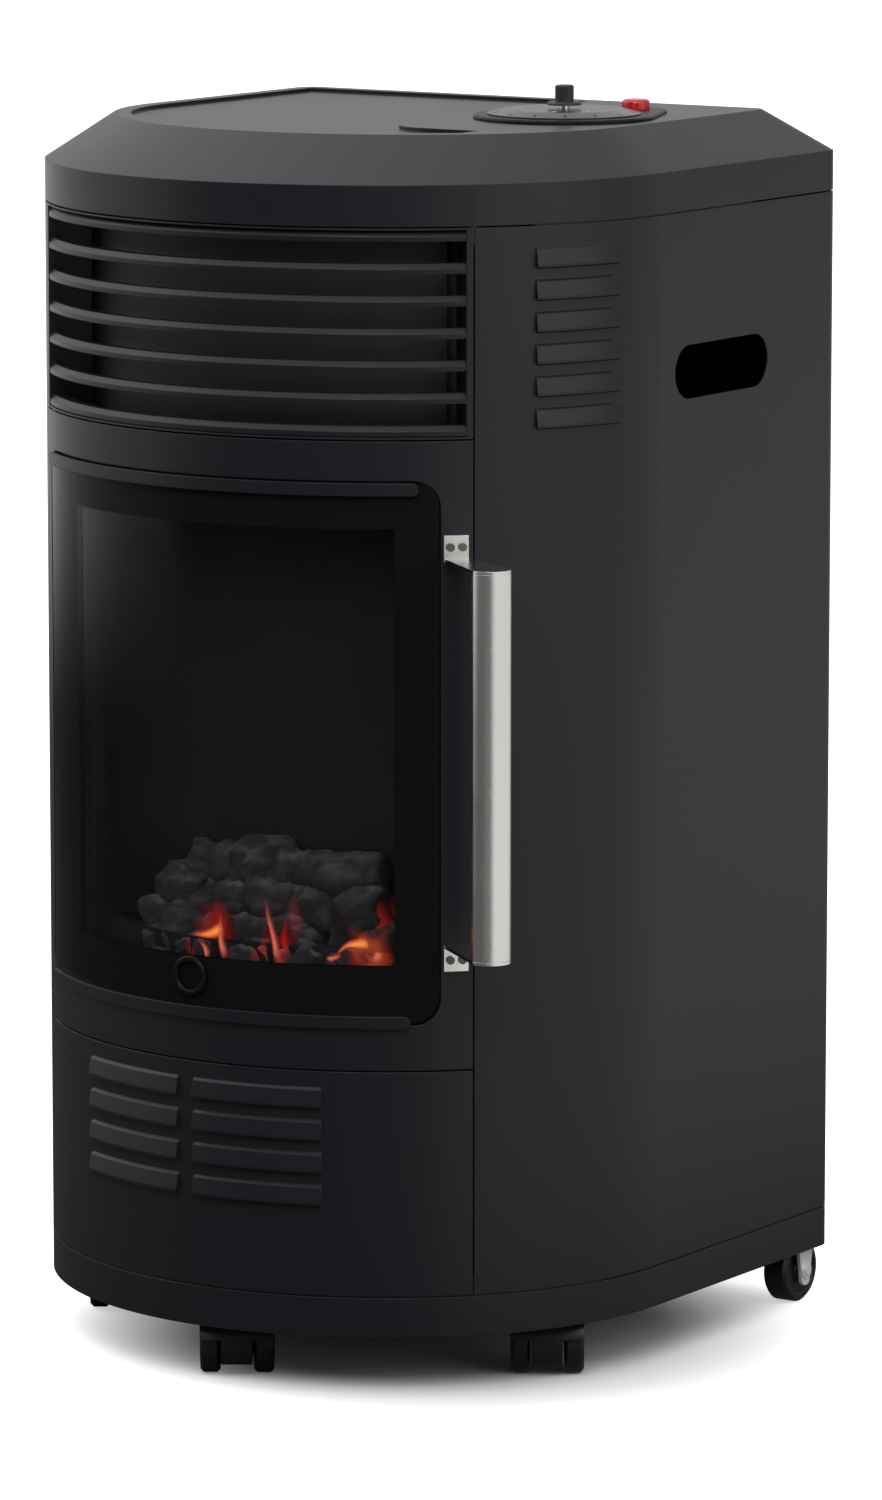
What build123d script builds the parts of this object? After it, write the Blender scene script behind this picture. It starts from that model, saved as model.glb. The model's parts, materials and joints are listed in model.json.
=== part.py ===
from build123d import *
from math import atan2, cos, degrees, radians, sin, sqrt
import os

# Portable gas cabinet heater: a bowed steel cabinet on five castors. A hinged glass door shows
# a ceramic coal bed, a grille lets the warm air out above it, and the gas controls sit on the
# lid. The gas bottle stands behind the heat shield and is reached by lifting off the rear cover.
# Millimetres. x is to the right, y to the back, z up. The origin is on the floor, under the
# middle of the whole heater. Angles are in degrees from straight ahead, positive to the right.

# ---- driving dimensions: cabinet ---------------------------------------------------------------
WIDTH = 428.0
DEPTH = 424.0
FRONT_RADIUS = 220.5
SEAM_ANGLE = 47.2
CORNER_RADIUS = 12.0
SEAM_GAP = 1.0
PANEL_T = 1.2
BASE_BOTTOM = 37.0
BASE_SEAM = 63.0
LOWER_PANEL_H = 144.0
DOOR_H = 395.0
GRILLE_H = 131.0
LID_SKIRT_H = 26.0
LID_RISE = 27.0

# ---- clearances --------------------------------------------------------------------------------
SEAT = 0.15            # between pieces that are fastened to each other
RUN = 0.06             # radial, where a pin or axle turns in its bore
SLIDE = 0.3            # round a sliding or lifting piece
SWING = 0.8            # beside a swinging edge

# ---- base tray ---------------------------------------------------------------------------------
TRAY_T = 1.5
TRAY_FLOOR = 53.0
UPSTAND_H = 12.0
FLANGE = 12.0
SOCKET_R = 8.0
SOCKET_H = 15.0
SOCKET_STEM_R = 4.0

# ---- castors -----------------------------------------------------------------------------------
WHEEL_R = 21.5
TWIN_WHEEL_W = 12.5
TWIN_GAP = 21.5
CASTOR_TRAIL = 8.0
CASTOR_TURN = 33.0
AXLE_R = 2.5
HOOD_CLEAR = 1.2
HOOD_T = 1.8
WEB_ABOVE_FLOOR = 9.0
WEB_PLAY = 1.0
STEM_ABOVE_AXLE = 10.0
BOSS_ABOVE_AXLE = 6.0
ARCH_ABOVE_AXLE = 4.0
STEM_FLANGE_R = 13.0
STEM_FLANGE_T = 2.0
FRONT_STEM_FROM_EDGE = 45.0
SIDE_STEM_FROM_EDGE = 50.0
SIDE_STEM_FROM_BACK = 271.0
REAR_WHEEL_W = 17.0
REAR_WHEEL_FROM_SIDE = 18.5
REAR_WHEEL_FROM_BACK = 22.0
FORK_T = 2.5
FORK_GAP = 1.2
FORK_TOP_W = 23.0
FORK_BOTTOM_W = 9.0
FORK_BELOW_AXLE = 10.0

# ---- side panels and louvres -------------------------------------------------------------------
SIDE_RETURN = 12.0
BACK_RETURN = 42.0
LOUVRE_RISE = 3.2
LOUVRE_SKIN = 0.9
LOUVRE_H = 12.5
LOUVRE_STEP = 1.5
LOUVRE_PITCH = 19.9
SIDE_LOUVRES = 6
SIDE_LOUVRES_BELOW_LID = 125.5
SIDE_LOUVRE_START_ANGLE = 59.0
SIDE_LOUVRE_END_ANGLE = 78.2
LOWER_LOUVRES = 4
LOWER_LOUVRES_ABOVE_BASE = 58.5
LOWER_LOUVRE_PITCH = 20.7
LOWER_LOUVRE_ANGLES = ((-25.7, -3.5), (-0.4, 22.3))
HAND_HOLE_LENGTH = 113.0
HAND_HOLE_H = 34.0
HAND_HOLE_FROM_BACK = 146.0
HAND_HOLE_BELOW_LID = 101.3

# ---- grille ------------------------------------------------------------------------------------
SLATS = 7
SLAT_H = 6.4
SLAT_LIP_H = 3.2
SLAT_SLOPE = 2.6
SLAT_DEPTH = 9.0
SLAT_SETBACK = 0.4
SLAT_ABOVE_SEAM = 2.4
SLAT_BELOW_LID = 2.2
POST_ANGLE = 1.1
GRILLE_WALL_DEPTH = 28.0
GRILLE_FLANGE_DEPTH = 36.0
BAFFLE_INSET = 33.0
BAFFLE_ANGLE = 44.5

# ---- door --------------------------------------------------------------------------------------
DOOR_DEPTH = 18.0
GLASS_LEFT_ANGLE = -44.0
GLASS_RIGHT_ANGLE = 41.3
GLASS_ABOVE_SEAM = 31.0
GLASS_BELOW_SEAM = 27.0
GLASS_T = 4.0
GLASS_SINK = 0.2
GLASS_CORNER = 15.0
GLASS_GAP = 2.0
GASKET_T = 1.5
LEDGE_W = 9.0
RAIL_PROUD = 3.0
RAIL_LEFT_ANGLE = -42.0
TOP_RAIL_H = 8.0
TOP_RAIL_LAP = 1.0
TOP_RAIL_RIGHT_ANGLE = 38.1
BOTTOM_RAIL_H = 7.8
BOTTOM_RAIL_LAP = 3.5
BOTTOM_RAIL_RIGHT_ANGLE = 36.8
SIGHT_RING_R = 12.5
SIGHT_RING_BORE = 9.0
SIGHT_RING_H = 3.0
SIGHT_RING_X = -3.0
SIGHT_RING_ABOVE_GLASS = 23.0
HINGE_FROM_EDGE = 14.0
HINGE_INSET = 3.4
HINGE_PIN_R = 1.5
HINGE_PIN_REACH = 5.0
HINGE_PLATE_T = 2.5
HINGE_PLATE_W = 12.0
CATCH_H = 40.0
CATCH_DEPTH = 8.0
STRIKE_W = 8.0

# ---- handle ------------------------------------------------------------------------------------
HANDLE_ABOVE_SEAM = 79.8
HANDLE_BELOW_SEAM = 75.2
HANDLE_TAB_H = 16.5
HANDLE_TAB_T = 2.5
TAB_START_ANGLE = 42.2
TAB_END_ANGLE = 46.2
HANDLE_ARM_T = 2.0
HANDLE_W = 25.5
HANDLE_BACK = 9.0
HANDLE_FLAT = 3.0
HANDLE_STANDOFF = 58.0
HANDLE_TURN = 56.0
SCREW_R = 1.5
SCREW_HEAD_R = 2.6
SCREW_HEAD_H = 1.4
SCREW_SPACING = 7.5

# ---- firebox and burner ------------------------------------------------------------------------
SHIELD_BEHIND_SEAM = 25.3
SHIELD_BELOW_LID = 2.0
FIREBOX_FROM_SEAM = 36.8
FIREBOX_FROM_SHIELD = 17.0
FIREBOX_FRONT_INSET = 20.5
FIREBOX_ABOVE_SEAM = 46.0
FIREBOX_BELOW_SEAM = 43.0
FIREBOX_T = 1.0
FOOT_W = 36.0
BURNER_FROM_LINER = 13.0
BURNER_Z_ABOVE_FLOOR = 11.0
BURNER_TRAY_H = 26.0
BURNER_GAP = 2.0
BURNER_R = 7.0
BURNER_T = 1.0
BURNER_END_GAP = 12.0
BURNER_PORTS = 13
PORT_R = 1.2
INJECTOR_GAP = 14.0
FLARE_L = 6.0
FLARE_RISE = 2.0
GRATE_T = 1.5
GRATE_BARS = 12
COAL_FILL = 1.07
COAL_COLUMNS = 8
COAL_BED_INSET = 4.0
COAL_TILT = 22.0
COAL_TURN = 47.0
COAL_BASE_T = 9.0

# ---- lid ---------------------------------------------------------------------------------------
LID_T = 1.5
LID_SLOPE_SIDE = 34.0
LID_SLOPE_FRONT = 56.0
LID_SLOPE_BACK = 33.0
PLATEAU_RADIUS = 194.0
RECESS_DEPTH = 2.5
RECESS_INSET = 11.0
PAD_FROM_SIDE = 131.0
PAD_FROM_FRONT = 79.0
PAD_RADIUS = 32.0
CHANNEL_END_FROM_SIDE = 57.0
LIP_DEPTH = 9.0

# ---- controls ----------------------------------------------------------------------------------
KNOB_FROM_SIDE = 68.0
KNOB_FROM_BACK = 139.0
PLATE_R = 58.0
PLATE_TAIL_R = 20.0
PLATE_T = 2.5
BUTTON_DX = 16.0
BUTTON_DY = 60.0
DIAL_R = 49.0
DIAL_H = 3.6
DIAL_CHAMFER = 2.6
DIAL_TOP_R = 38.0
DIAL_TICKS = 9
KNOB_R = 6.0
KNOB_H = 10.6
KNOB_FLANGE_R = 11.0
KNOB_FLANGE_H = 2.0
KNOB_TRAVEL = 2.0
KNOB_FLUTES = 18
SPINDLE_R = 3.0
BUTTON_R = 9.0
BUTTON_H = 8.0
BUTTON_PROUD = 6.4
BUTTON_TRAVEL = 4.0
IGNITER_R = 10.0
VALVE_W = 34.0
VALVE_L = 40.0
VALVE_H = 24.0
VALVE_BELOW_LID = 12.0
BRACKET_T = 1.5
PIPE_R = 4.0
PILOT_PIPE_R = 2.0
PIPE_BEND = 8.0
PIPE_STRAIGHT = 30.0
PIPE_SWEEP = 60.0
PIPE_OFFSET = 8.0
PIPE_FROM_FIREBOX_SIDE = 42.0
PILOT_FROM_PIPE = 13.0
PILOT_HEAD_R = 3.0
NOZZLE_R = 4.5
NOZZLE_LENGTH = 32.0
NOZZLE_SEAT_H = 8.0
NOZZLE_BACK = 14.0
BARBS = 3
BARB_PITCH = 6.0
BARB_H = 4.0
BARB_RISE = 1.0

# ---- rear opening ------------------------------------------------------------------------------
REAR_FRAME_T = 1.5
REAR_POST_W = 22.0
HEAD_RAIL_BELOW_LID = 40.0
COVER_LAP = 10.0
VENT_W = 40.0
VENT_H = 5.0
VENT_ROWS = 4
VENT_PITCH = 14.0
VENT_SPREAD = 58.0
VENT_ABOVE_UPSTAND = 30.0
VENT_BELOW_HEAD = 80.0

# ---- worked out from the driving dimensions ----------------------------------------------------
HALF_GAP = SEAM_GAP / 2
DOOR_SEAM = BASE_SEAM + LOWER_PANEL_H
GRILLE_SEAM = DOOR_SEAM + DOOR_H
LID_SEAM = GRILLE_SEAM + GRILLE_H
LID_EDGE = LID_SEAM + LID_SKIRT_H
LID_TOP = LID_EDGE + LID_RISE
FRONT_Y = (LOUVRE_RISE - DEPTH) / 2
BACK_Y = (LOUVRE_RISE + DEPTH) / 2
FRONT_CENTRE_Y = FRONT_Y + FRONT_RADIUS
SEAM_SIN = sin(radians(SEAM_ANGLE))
SEAM_X = FRONT_RADIUS * SEAM_SIN
SEAM_Y = FRONT_CENTRE_Y - FRONT_RADIUS * cos(radians(SEAM_ANGLE))
SIDE_RADIUS = (WIDTH / 2 - FRONT_RADIUS * SEAM_SIN) / (1 - SEAM_SIN)
GAP_ANGLE = degrees(HALF_GAP / FRONT_RADIUS)
EDGE_ANGLE = SEAM_ANGLE - GAP_ANGLE
TRAY_TOP = TRAY_FLOOR + TRAY_T
UPSTAND_TOP = BASE_SEAM + UPSTAND_H
SLAT_PITCH = (GRILLE_H - SLAT_ABOVE_SEAM - SLAT_H - SLAT_BELOW_LID) / (SLATS - 1)
GLASS_BOTTOM = DOOR_SEAM + GLASS_ABOVE_SEAM
GLASS_TOP = GRILLE_SEAM - GLASS_BELOW_SEAM
HANDLE_BOTTOM = DOOR_SEAM + HANDLE_ABOVE_SEAM
HANDLE_TOP = GRILLE_SEAM - HANDLE_BELOW_SEAM
REAR_OPENING_TOP = LID_SEAM - HEAD_RAIL_BELOW_LID
SHIELD_Y = SEAM_Y + SHIELD_BEHIND_SEAM
SHIELD_TOP = LID_SEAM - SHIELD_BELOW_LID
FIREBOX_HALF_W = SEAM_X - FIREBOX_FROM_SEAM
FIREBOX_Y = SHIELD_Y - FIREBOX_FROM_SHIELD
FIREBOX_FRONT_R = FRONT_RADIUS - FIREBOX_FRONT_INSET
FIREBOX_BOTTOM = DOOR_SEAM + FIREBOX_ABOVE_SEAM
FIREBOX_TOP = GRILLE_SEAM - FIREBOX_BELOW_SEAM
BURNER_HALF_W = FIREBOX_HALF_W - BURNER_FROM_LINER
PLATEAU_HALF_W = WIDTH / 2 - LID_SLOPE_SIDE
KNOB_X = PLATEAU_HALF_W - KNOB_FROM_SIDE
KNOB_Y = BACK_Y - LID_SLOPE_BACK - KNOB_FROM_BACK
NOZZLE_Y = KNOB_Y + NOZZLE_BACK
BUTTON_X = KNOB_X + BUTTON_DX
BUTTON_Y = KNOB_Y + BUTTON_DY
LID_FLOOR = LID_TOP - RECESS_DEPTH
LID_CEILING = LID_FLOOR - LID_T
PLATE_TOP = LID_TOP + PLATE_T
DIAL_TOP = PLATE_TOP + DIAL_H
VALVE_TOP = LID_CEILING - VALVE_BELOW_LID
PIPE_Y = (SHIELD_Y + FIREBOX_Y + FIREBOX_T) / 2
BURNER_Z = FIREBOX_BOTTOM + FIREBOX_T + BURNER_Z_ABOVE_FLOOR
GRATE_Z = FIREBOX_BOTTOM + FIREBOX_T + BURNER_TRAY_H


# ---- plan shapes -------------------------------------------------------------------------------
def on_arc(radius, angle, centre_y=FRONT_CENTRE_Y):
    """Plan point at a radius and an angle from straight ahead."""
    turn = radians(angle)
    return (radius * sin(turn), centre_y - radius * cos(turn))


def angle_of(length, radius=FRONT_RADIUS):
    """Angle that a length takes along an arc."""
    return degrees(length / radius)


def plan_outline(half_w, front_y, back_y, front_r, corner_r, inset=0.0):
    """Plan face with a bowed front, rounder shoulders, straight sides and small back corners."""
    side_r = (half_w - front_r * SEAM_SIN) / (1 - SEAM_SIN)
    front_c = front_y + front_r
    side_cx, side_cy = on_arc(front_r - side_r, SEAM_ANGLE, front_c)
    bow, shoulder = front_r - inset, side_r - inset
    corner = max(corner_r - inset, 1.0)
    x, y = half_w - inset, back_y - inset
    mid_angle = radians((SEAM_ANGLE + 90) / 2)
    seam = on_arc(bow, SEAM_ANGLE, front_c)
    shoulder_mid = (side_cx + shoulder * sin(mid_angle), side_cy - shoulder * cos(mid_angle))
    bend = corner * (1 - cos(radians(45)))

    def mirrored(point):
        return (-point[0], point[1])

    edges = [ThreePointArc(mirrored(seam), (0, front_c - bow), seam)]
    for flip in (tuple, mirrored):
        edges += [
            ThreePointArc(flip(seam), flip(shoulder_mid), flip((x, side_cy))),
            Line(flip((x, side_cy)), flip((x, y - corner))),
            ThreePointArc(flip((x, y - corner)), flip((x - bend, y - bend)), flip((x - corner, y))),
        ]
    edges.append(Line((x - corner, y), mirrored((x - corner, y))))
    return make_face(edges)


def cabinet(inset=0.0):
    """Plan face of the cabinet, taken in by an inset."""
    return plan_outline(WIDTH / 2, FRONT_Y, BACK_Y, FRONT_RADIUS, CORNER_RADIUS, inset)


def plateau(inset=0.0):
    """Plan face of the flat top of the lid, taken in by an inset."""
    front, back = FRONT_Y + LID_SLOPE_FRONT, BACK_Y - LID_SLOPE_BACK
    return plan_outline(PLATEAU_HALF_W, front, back, PLATEAU_RADIUS, CORNER_RADIUS, inset)


def prism(face, bottom, top):
    """A plan face stood up between two heights."""
    return Pos(0, 0, bottom) * extrude(face, top - bottom, dir=(0, 0, 1))


def ring(outer_inset, inner_inset, bottom, top):
    """A wall that follows the whole outline of the cabinet."""
    return prism(cabinet(outer_inset), bottom, top) - prism(cabinet(inner_inset), bottom, top)


def bowed(outer_inset, inner_inset, start, end, bottom, top):
    """A plate that follows the bowed front between two angles."""
    outer, inner = FRONT_RADIUS - outer_inset, FRONT_RADIUS - inner_inset
    mid = (start + end) / 2
    a, b = on_arc(outer, start), on_arc(outer, end)
    c, d = on_arc(inner, end), on_arc(inner, start)
    edges = [ThreePointArc(a, on_arc(outer, mid), b), Line(b, c)]
    edges += [ThreePointArc(c, on_arc(inner, mid), d), Line(d, a)]
    return prism(make_face(edges), bottom, top)


def box(x0, x1, y0, y1, z0, z1):
    """A box between two corners."""
    return Pos((x0 + x1) / 2, (y0 + y1) / 2, (z0 + z1) / 2) * Box(x1 - x0, y1 - y0, z1 - z0)


def upright(radius, bottom, top, x=0.0, y=0.0):
    """A round bar that stands at a plan point."""
    return Pos(x, y, (bottom + top) / 2) * Cylinder(radius, top - bottom)


def cross_bar(radius, x0, x1, y, z):
    """A round bar along x."""
    return Pos((x0 + x1) / 2, y, z) * Rot(0, 90, 0) * Cylinder(radius, abs(x1 - x0))


def bay(half_w, back_y, front_r, bottom, top):
    """A block with a flat back and sides and a front that follows the bow."""
    corner = FRONT_CENTRE_Y - sqrt(front_r ** 2 - half_w ** 2)
    left, right = (-half_w, corner), (half_w, corner)
    edges = [ThreePointArc(left, (0, FRONT_CENTRE_Y - front_r), right)]
    edges += [Line(right, (half_w, back_y)), Line((half_w, back_y), (-half_w, back_y))]
    edges.append(Line((-half_w, back_y), left))
    return prism(make_face(edges), bottom, top)


def side_inner_x(y, inset):
    """Distance from the middle to the inside of the side at a plan y in front of the shoulder."""
    centre_x, centre_y = on_arc(FRONT_RADIUS - SIDE_RADIUS, SEAM_ANGLE)
    return centre_x + sqrt((SIDE_RADIUS - inset) ** 2 - (y - centre_y) ** 2)


def revolved(points, start, end, radius_centre):
    """A closed (radius, height) profile turned about an upright axis between two angles."""
    face = Plane.XZ * make_face(Polyline(*points, close=True))
    turned = revolve(face, Axis.Z, end - start)
    # the profile starts along +x, and angles run from straight ahead
    return Pos(radius_centre[0], radius_centre[1], 0) * Rot(0, 0, start - 90) * turned


def louvre(radius, centre, start, end, bottom):
    """Pressed hood with an open lower edge: the solid to add and the hollow to cut from both."""
    top = bottom + LOUVRE_H
    end_wall = angle_of(LOUVRE_SKIN, radius)
    crest, brow = radius + LOUVRE_RISE, radius + LOUVRE_STEP
    hood = [(radius - PANEL_T, bottom), (crest, bottom), (crest, bottom + 2 * LOUVRE_SKIN),
            (brow, top - LOUVRE_STEP), (radius, top), (radius - PANEL_T, top)]
    hollow = [(radius - 2 * PANEL_T, bottom + LOUVRE_SKIN), (radius + LOUVRE_SKIN / 4, bottom - 1),
              (crest - LOUVRE_SKIN, bottom - 1), (crest - LOUVRE_SKIN, bottom + LOUVRE_SKIN),
              (brow - LOUVRE_SKIN, top - 2 * LOUVRE_STEP), (radius - 2 * PANEL_T, top - 2 * LOUVRE_STEP)]
    solid = revolved(hood, start, end, centre)
    cut = revolved(hollow, start + end_wall, end - end_wall, centre)
    return solid, cut


def with_louvres(panel, hoods):
    """A panel with its louvres pressed out."""
    panel = panel + [hood for hood, _ in hoods]
    return panel - [cut for _, cut in hoods]


# ---- base --------------------------------------------------------------------------------------
def front_stem():
    return (0.0, FRONT_Y + FRONT_STEM_FROM_EDGE)


def side_stem(side):
    return (side * (WIDTH / 2 - SIDE_STEM_FROM_EDGE), BACK_Y - SIDE_STEM_FROM_BACK)


def base_tray():
    """Skirt, floor and the upstand that the panels are fastened to, with the castor sockets."""
    tray = ring(0, TRAY_T, BASE_BOTTOM, BASE_SEAM - HALF_GAP)
    tray += prism(cabinet(TRAY_T / 2), TRAY_FLOOR, TRAY_TOP)
    upstand = PANEL_T + SEAT
    tray += ring(upstand, upstand + TRAY_T, TRAY_FLOOR, UPSTAND_TOP)
    for x, y in (front_stem(), side_stem(1), side_stem(-1)):
        tray += upright(SOCKET_R, TRAY_FLOOR, TRAY_TOP + SOCKET_H, x, y)
        tray -= upright(SOCKET_STEM_R, TRAY_FLOOR - 1, TRAY_TOP + SOCKET_H - 1, x, y)
    return tray


# ---- castors -----------------------------------------------------------------------------------
def wheel(width):
    """Wheel about the x axis: a rounded tread, and a dished face on both sides of the hub."""
    half, edge, dish, hub, tread = width / 2, 2.0, 1.5, 6.0, 4.5
    rim = WHEEL_R - tread
    bore = AXLE_R + RUN
    side = [(bore, half), (hub, half), (hub + 1, half - dish), (rim - 1, half - dish), (rim, half),
            (WHEEL_R - edge, half), (WHEEL_R, half - edge)]
    profile = side + [(r, -x) for r, x in reversed(side)]
    return Rot(0, 90, 0) * revolve(Plane.XZ * make_face(Polyline(*profile, close=True)), Axis.Z)


def twin_castor(place):
    """Stem, hood, axle and wheel pair of a swivel castor, with the wheels trailing along -y."""
    turn = Pos(place[0], place[1], 0) * Rot(0, 0, CASTOR_TURN)
    flange_bottom = TRAY_FLOOR - STEM_FLANGE_T
    hood_top = flange_bottom - SLIDE
    half_span = TWIN_GAP / 2 + TWIN_WHEEL_W
    outer_r = WHEEL_R + HOOD_CLEAR + HOOD_T
    web_half = TWIN_GAP / 2 - WEB_PLAY
    axle_y = -CASTOR_TRAIL

    stem_end = WHEEL_R + STEM_ABOVE_AXLE
    stem = upright(SOCKET_STEM_R - SEAT / 2, stem_end, TRAY_TOP + SOCKET_H - 2)
    stem += upright(STEM_FLANGE_R, flange_bottom, TRAY_FLOOR)

    arch = cross_bar(outer_r, -half_span, half_span, axle_y, WHEEL_R)
    arch -= cross_bar(outer_r - HOOD_T, -half_span - 1, half_span + 1, axle_y, WHEEL_R)
    reach = outer_r + 1
    arch -= box(-half_span - 1, half_span + 1, axle_y - reach, axle_y + reach, -5,
                WHEEL_R + ARCH_ABOVE_AXLE)
    web = cross_bar(outer_r - HOOD_T / 2, -web_half, web_half, axle_y, WHEEL_R)
    web -= box(-half_span, half_span, axle_y - reach, axle_y + reach, -5, WEB_ABOVE_FLOOR)
    boss = upright(web_half, WHEEL_R + BOSS_ABOVE_AXLE, hood_top)
    hood = arch + web + boss
    hood -= upright(SOCKET_STEM_R + RUN - SEAT / 2, stem_end - 1, hood_top + 1)
    hood -= cross_bar(AXLE_R + RUN / 2, -half_span, half_span, axle_y, WHEEL_R)

    axle = cross_bar(AXLE_R, -half_span + 1, half_span - 1, axle_y, WHEEL_R)
    middle = TWIN_GAP / 2 + TWIN_WHEEL_W / 2
    wheels = [Pos(side * middle, axle_y, WHEEL_R) * wheel(TWIN_WHEEL_W) for side in (-1, 1)]
    return {"stem": turn * stem, "hood": turn * hood, "axle": turn * axle,
            "wheels": Compound([turn * one for one in wheels])}


def rear_castor(side):
    """Fork, axle and wheel of a fixed rear castor."""
    x = side * (WIDTH / 2 - REAR_WHEEL_FROM_SIDE)
    y = BACK_Y - REAR_WHEEL_FROM_BACK
    inner = REAR_WHEEL_W / 2 + FORK_GAP
    outer = inner + FORK_T
    top, bottom = TRAY_FLOOR, WHEEL_R - FORK_BELOW_AXLE
    fork = box(x - outer, x + outer, y - FORK_TOP_W / 2, y + FORK_TOP_W / 2, top - FORK_T, top)
    half_t, half_b = FORK_TOP_W / 2, FORK_BOTTOM_W / 2
    leg_face = Plane.YZ * make_face(Polyline(
        (y - half_t, top - FORK_T), (y - half_b, bottom + 2), (y - half_b + 2, bottom),
        (y + half_b - 2, bottom), (y + half_b, bottom + 2), (y + half_t, top - FORK_T), close=True))
    rib_r = FORK_BOTTOM_W / 2 + 1
    for edge in (-1, 1):
        start = x + edge * inner if edge > 0 else x - outer
        leg = Pos(start, 0, 0) * extrude(leg_face, FORK_T, dir=(1, 0, 0))
        face_x = x + edge * outer
        rib = cross_bar(rib_r, face_x, face_x + edge, y, WHEEL_R)
        fork += leg + rib
    reach = outer + 1
    fork -= cross_bar(AXLE_R + SEAT / 2, x - reach - 1, x + reach + 1, y, WHEEL_R)
    axle = cross_bar(AXLE_R, x - reach, x + reach, y, WHEEL_R)
    for edge in (-1, 1):
        start = x + edge * (reach + SEAT)
        axle += cross_bar(AXLE_R + 1, start, start + edge, y, WHEEL_R)
        axle += cross_bar(AXLE_R, x, start, y, WHEEL_R)
    return {"fork": fork, "axle": axle, "wheel": Pos(x, y, WHEEL_R) * wheel(REAR_WHEEL_W)}


# ---- panels ------------------------------------------------------------------------------------
def side_panel(side):
    """Side, shoulder and back corner in one sheet, with a hand hole, and louvres on the right."""
    bottom, top = BASE_SEAM + HALF_GAP, LID_SEAM - HALF_GAP
    panel = ring(0, PANEL_T, bottom, top)
    far = WIDTH + DEPTH
    edge = SEAM_ANGLE + GAP_ANGLE
    back_edge = WIDTH / 2 - BACK_RETURN
    keep = make_face(Polyline((0, FRONT_CENTRE_Y), on_arc(far, edge), (far, far), (back_edge, far),
                              (back_edge, FRONT_CENTRE_Y), close=True))
    panel = panel & prism(keep, bottom, top)
    strip = angle_of(PANEL_T)
    panel += bowed(PANEL_T / 2, SIDE_RETURN, edge, edge + strip, UPSTAND_TOP + 1, top - FLANGE)
    centre = on_arc(FRONT_RADIUS - SIDE_RADIUS, SEAM_ANGLE)
    if side > 0:
        lowest = LID_SEAM - SIDE_LOUVRES_BELOW_LID
        hoods = [louvre(SIDE_RADIUS, centre, SIDE_LOUVRE_START_ANGLE, SIDE_LOUVRE_END_ANGLE,
                        lowest + i * LOUVRE_PITCH) for i in range(SIDE_LOUVRES)]
        panel = with_louvres(panel, hoods)
    hole = SlotOverall(HAND_HOLE_LENGTH, HAND_HOLE_H)
    reach = 4 * PANEL_T
    cut = extrude(Plane.YZ * hole, 2 * reach, dir=(1, 0, 0))
    panel -= Pos(WIDTH / 2 - reach, BACK_Y - HAND_HOLE_FROM_BACK,
                 LID_SEAM - HAND_HOLE_BELOW_LID) * cut
    return panel if side > 0 else mirror(panel, Plane.YZ)


def lower_panel():
    """Bowed panel below the door, with two groups of louvres and a hinge flange on top."""
    bottom, top = BASE_SEAM + HALF_GAP, DOOR_SEAM - HALF_GAP
    panel = bowed(0, PANEL_T, -EDGE_ANGLE, EDGE_ANGLE, bottom, top)
    panel += bowed(0, DOOR_DEPTH, -EDGE_ANGLE, EDGE_ANGLE, top - PANEL_T, top)
    strip = angle_of(PANEL_T)
    for start in (-EDGE_ANGLE, EDGE_ANGLE - strip):
        panel += bowed(PANEL_T / 2, SIDE_RETURN, start, start + strip, UPSTAND_TOP + 1, top)
    lowest = BASE_SEAM + LOWER_LOUVRES_ABOVE_BASE
    hoods = [louvre(FRONT_RADIUS, (0, FRONT_CENTRE_Y), start, end,
                    lowest + i * LOWER_LOUVRE_PITCH)
             for start, end in LOWER_LOUVRE_ANGLES for i in range(LOWER_LOUVRES)]
    panel = with_louvres(panel, hoods)
    hinge_x, hinge_y = hinge_axis()
    return panel - upright(HINGE_PIN_R + SEAT / 2, top - 2 * PANEL_T, top + 1, hinge_x, hinge_y)


def slat(reach, low):
    """Level slat: an upright lip below, a sloping brow above it, and the top edge turned in."""
    radius, lip, top = FRONT_RADIUS - SLAT_SETBACK, low + SLAT_LIP_H, low + SLAT_H
    brow, inner = radius - SLAT_SLOPE, radius - PANEL_T
    profile = [(radius, low), (radius, lip), (brow, top), (radius - SLAT_DEPTH, top),
               (radius - SLAT_DEPTH, top - PANEL_T), (brow - PANEL_T / 2, top - PANEL_T),
               (inner, lip - PANEL_T / 2), (inner, low)]
    return revolved(profile, -reach, reach, (0, FRONT_CENTRE_Y))


def grille():
    """Bowed frame with deep side walls, flanges above and below, and seven level slats."""
    bottom, top = GRILLE_SEAM + HALF_GAP, LID_SEAM - HALF_GAP
    wall = angle_of(PANEL_T)
    frame = bowed(0, GRILLE_FLANGE_DEPTH, -EDGE_ANGLE, EDGE_ANGLE, bottom, bottom + PANEL_T)
    frame += bowed(0, GRILLE_FLANGE_DEPTH, -EDGE_ANGLE, EDGE_ANGLE, top - PANEL_T, top)
    for side in (-1, 1):
        outer, inner = side * EDGE_ANGLE, side * (EDGE_ANGLE - POST_ANGLE)
        frame += bowed(0, PANEL_T, min(outer, inner), max(outer, inner), bottom, top)
        back = inner + side * wall
        frame += bowed(PANEL_T / 2, GRILLE_WALL_DEPTH, min(back, inner), max(back, inner), bottom, top)
    reach = EDGE_ANGLE - POST_ANGLE + wall / 2
    for i in range(SLATS):
        frame += slat(reach, GRILLE_SEAM + SLAT_ABOVE_SEAM + i * SLAT_PITCH)
    hinge_x, hinge_y = hinge_axis()
    return frame - upright(HINGE_PIN_R + SEAT / 2, bottom - 1, bottom + 2 * PANEL_T, hinge_x, hinge_y)


def air_baffle():
    """Bowed plate behind the slats that turns the warm air forward."""
    bottom, top = GRILLE_SEAM + HALF_GAP + PANEL_T, LID_SEAM - HALF_GAP - PANEL_T
    inner = BAFFLE_INSET + PANEL_T
    return bowed(BAFFLE_INSET, inner, -BAFFLE_ANGLE, BAFFLE_ANGLE, bottom, top)


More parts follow.
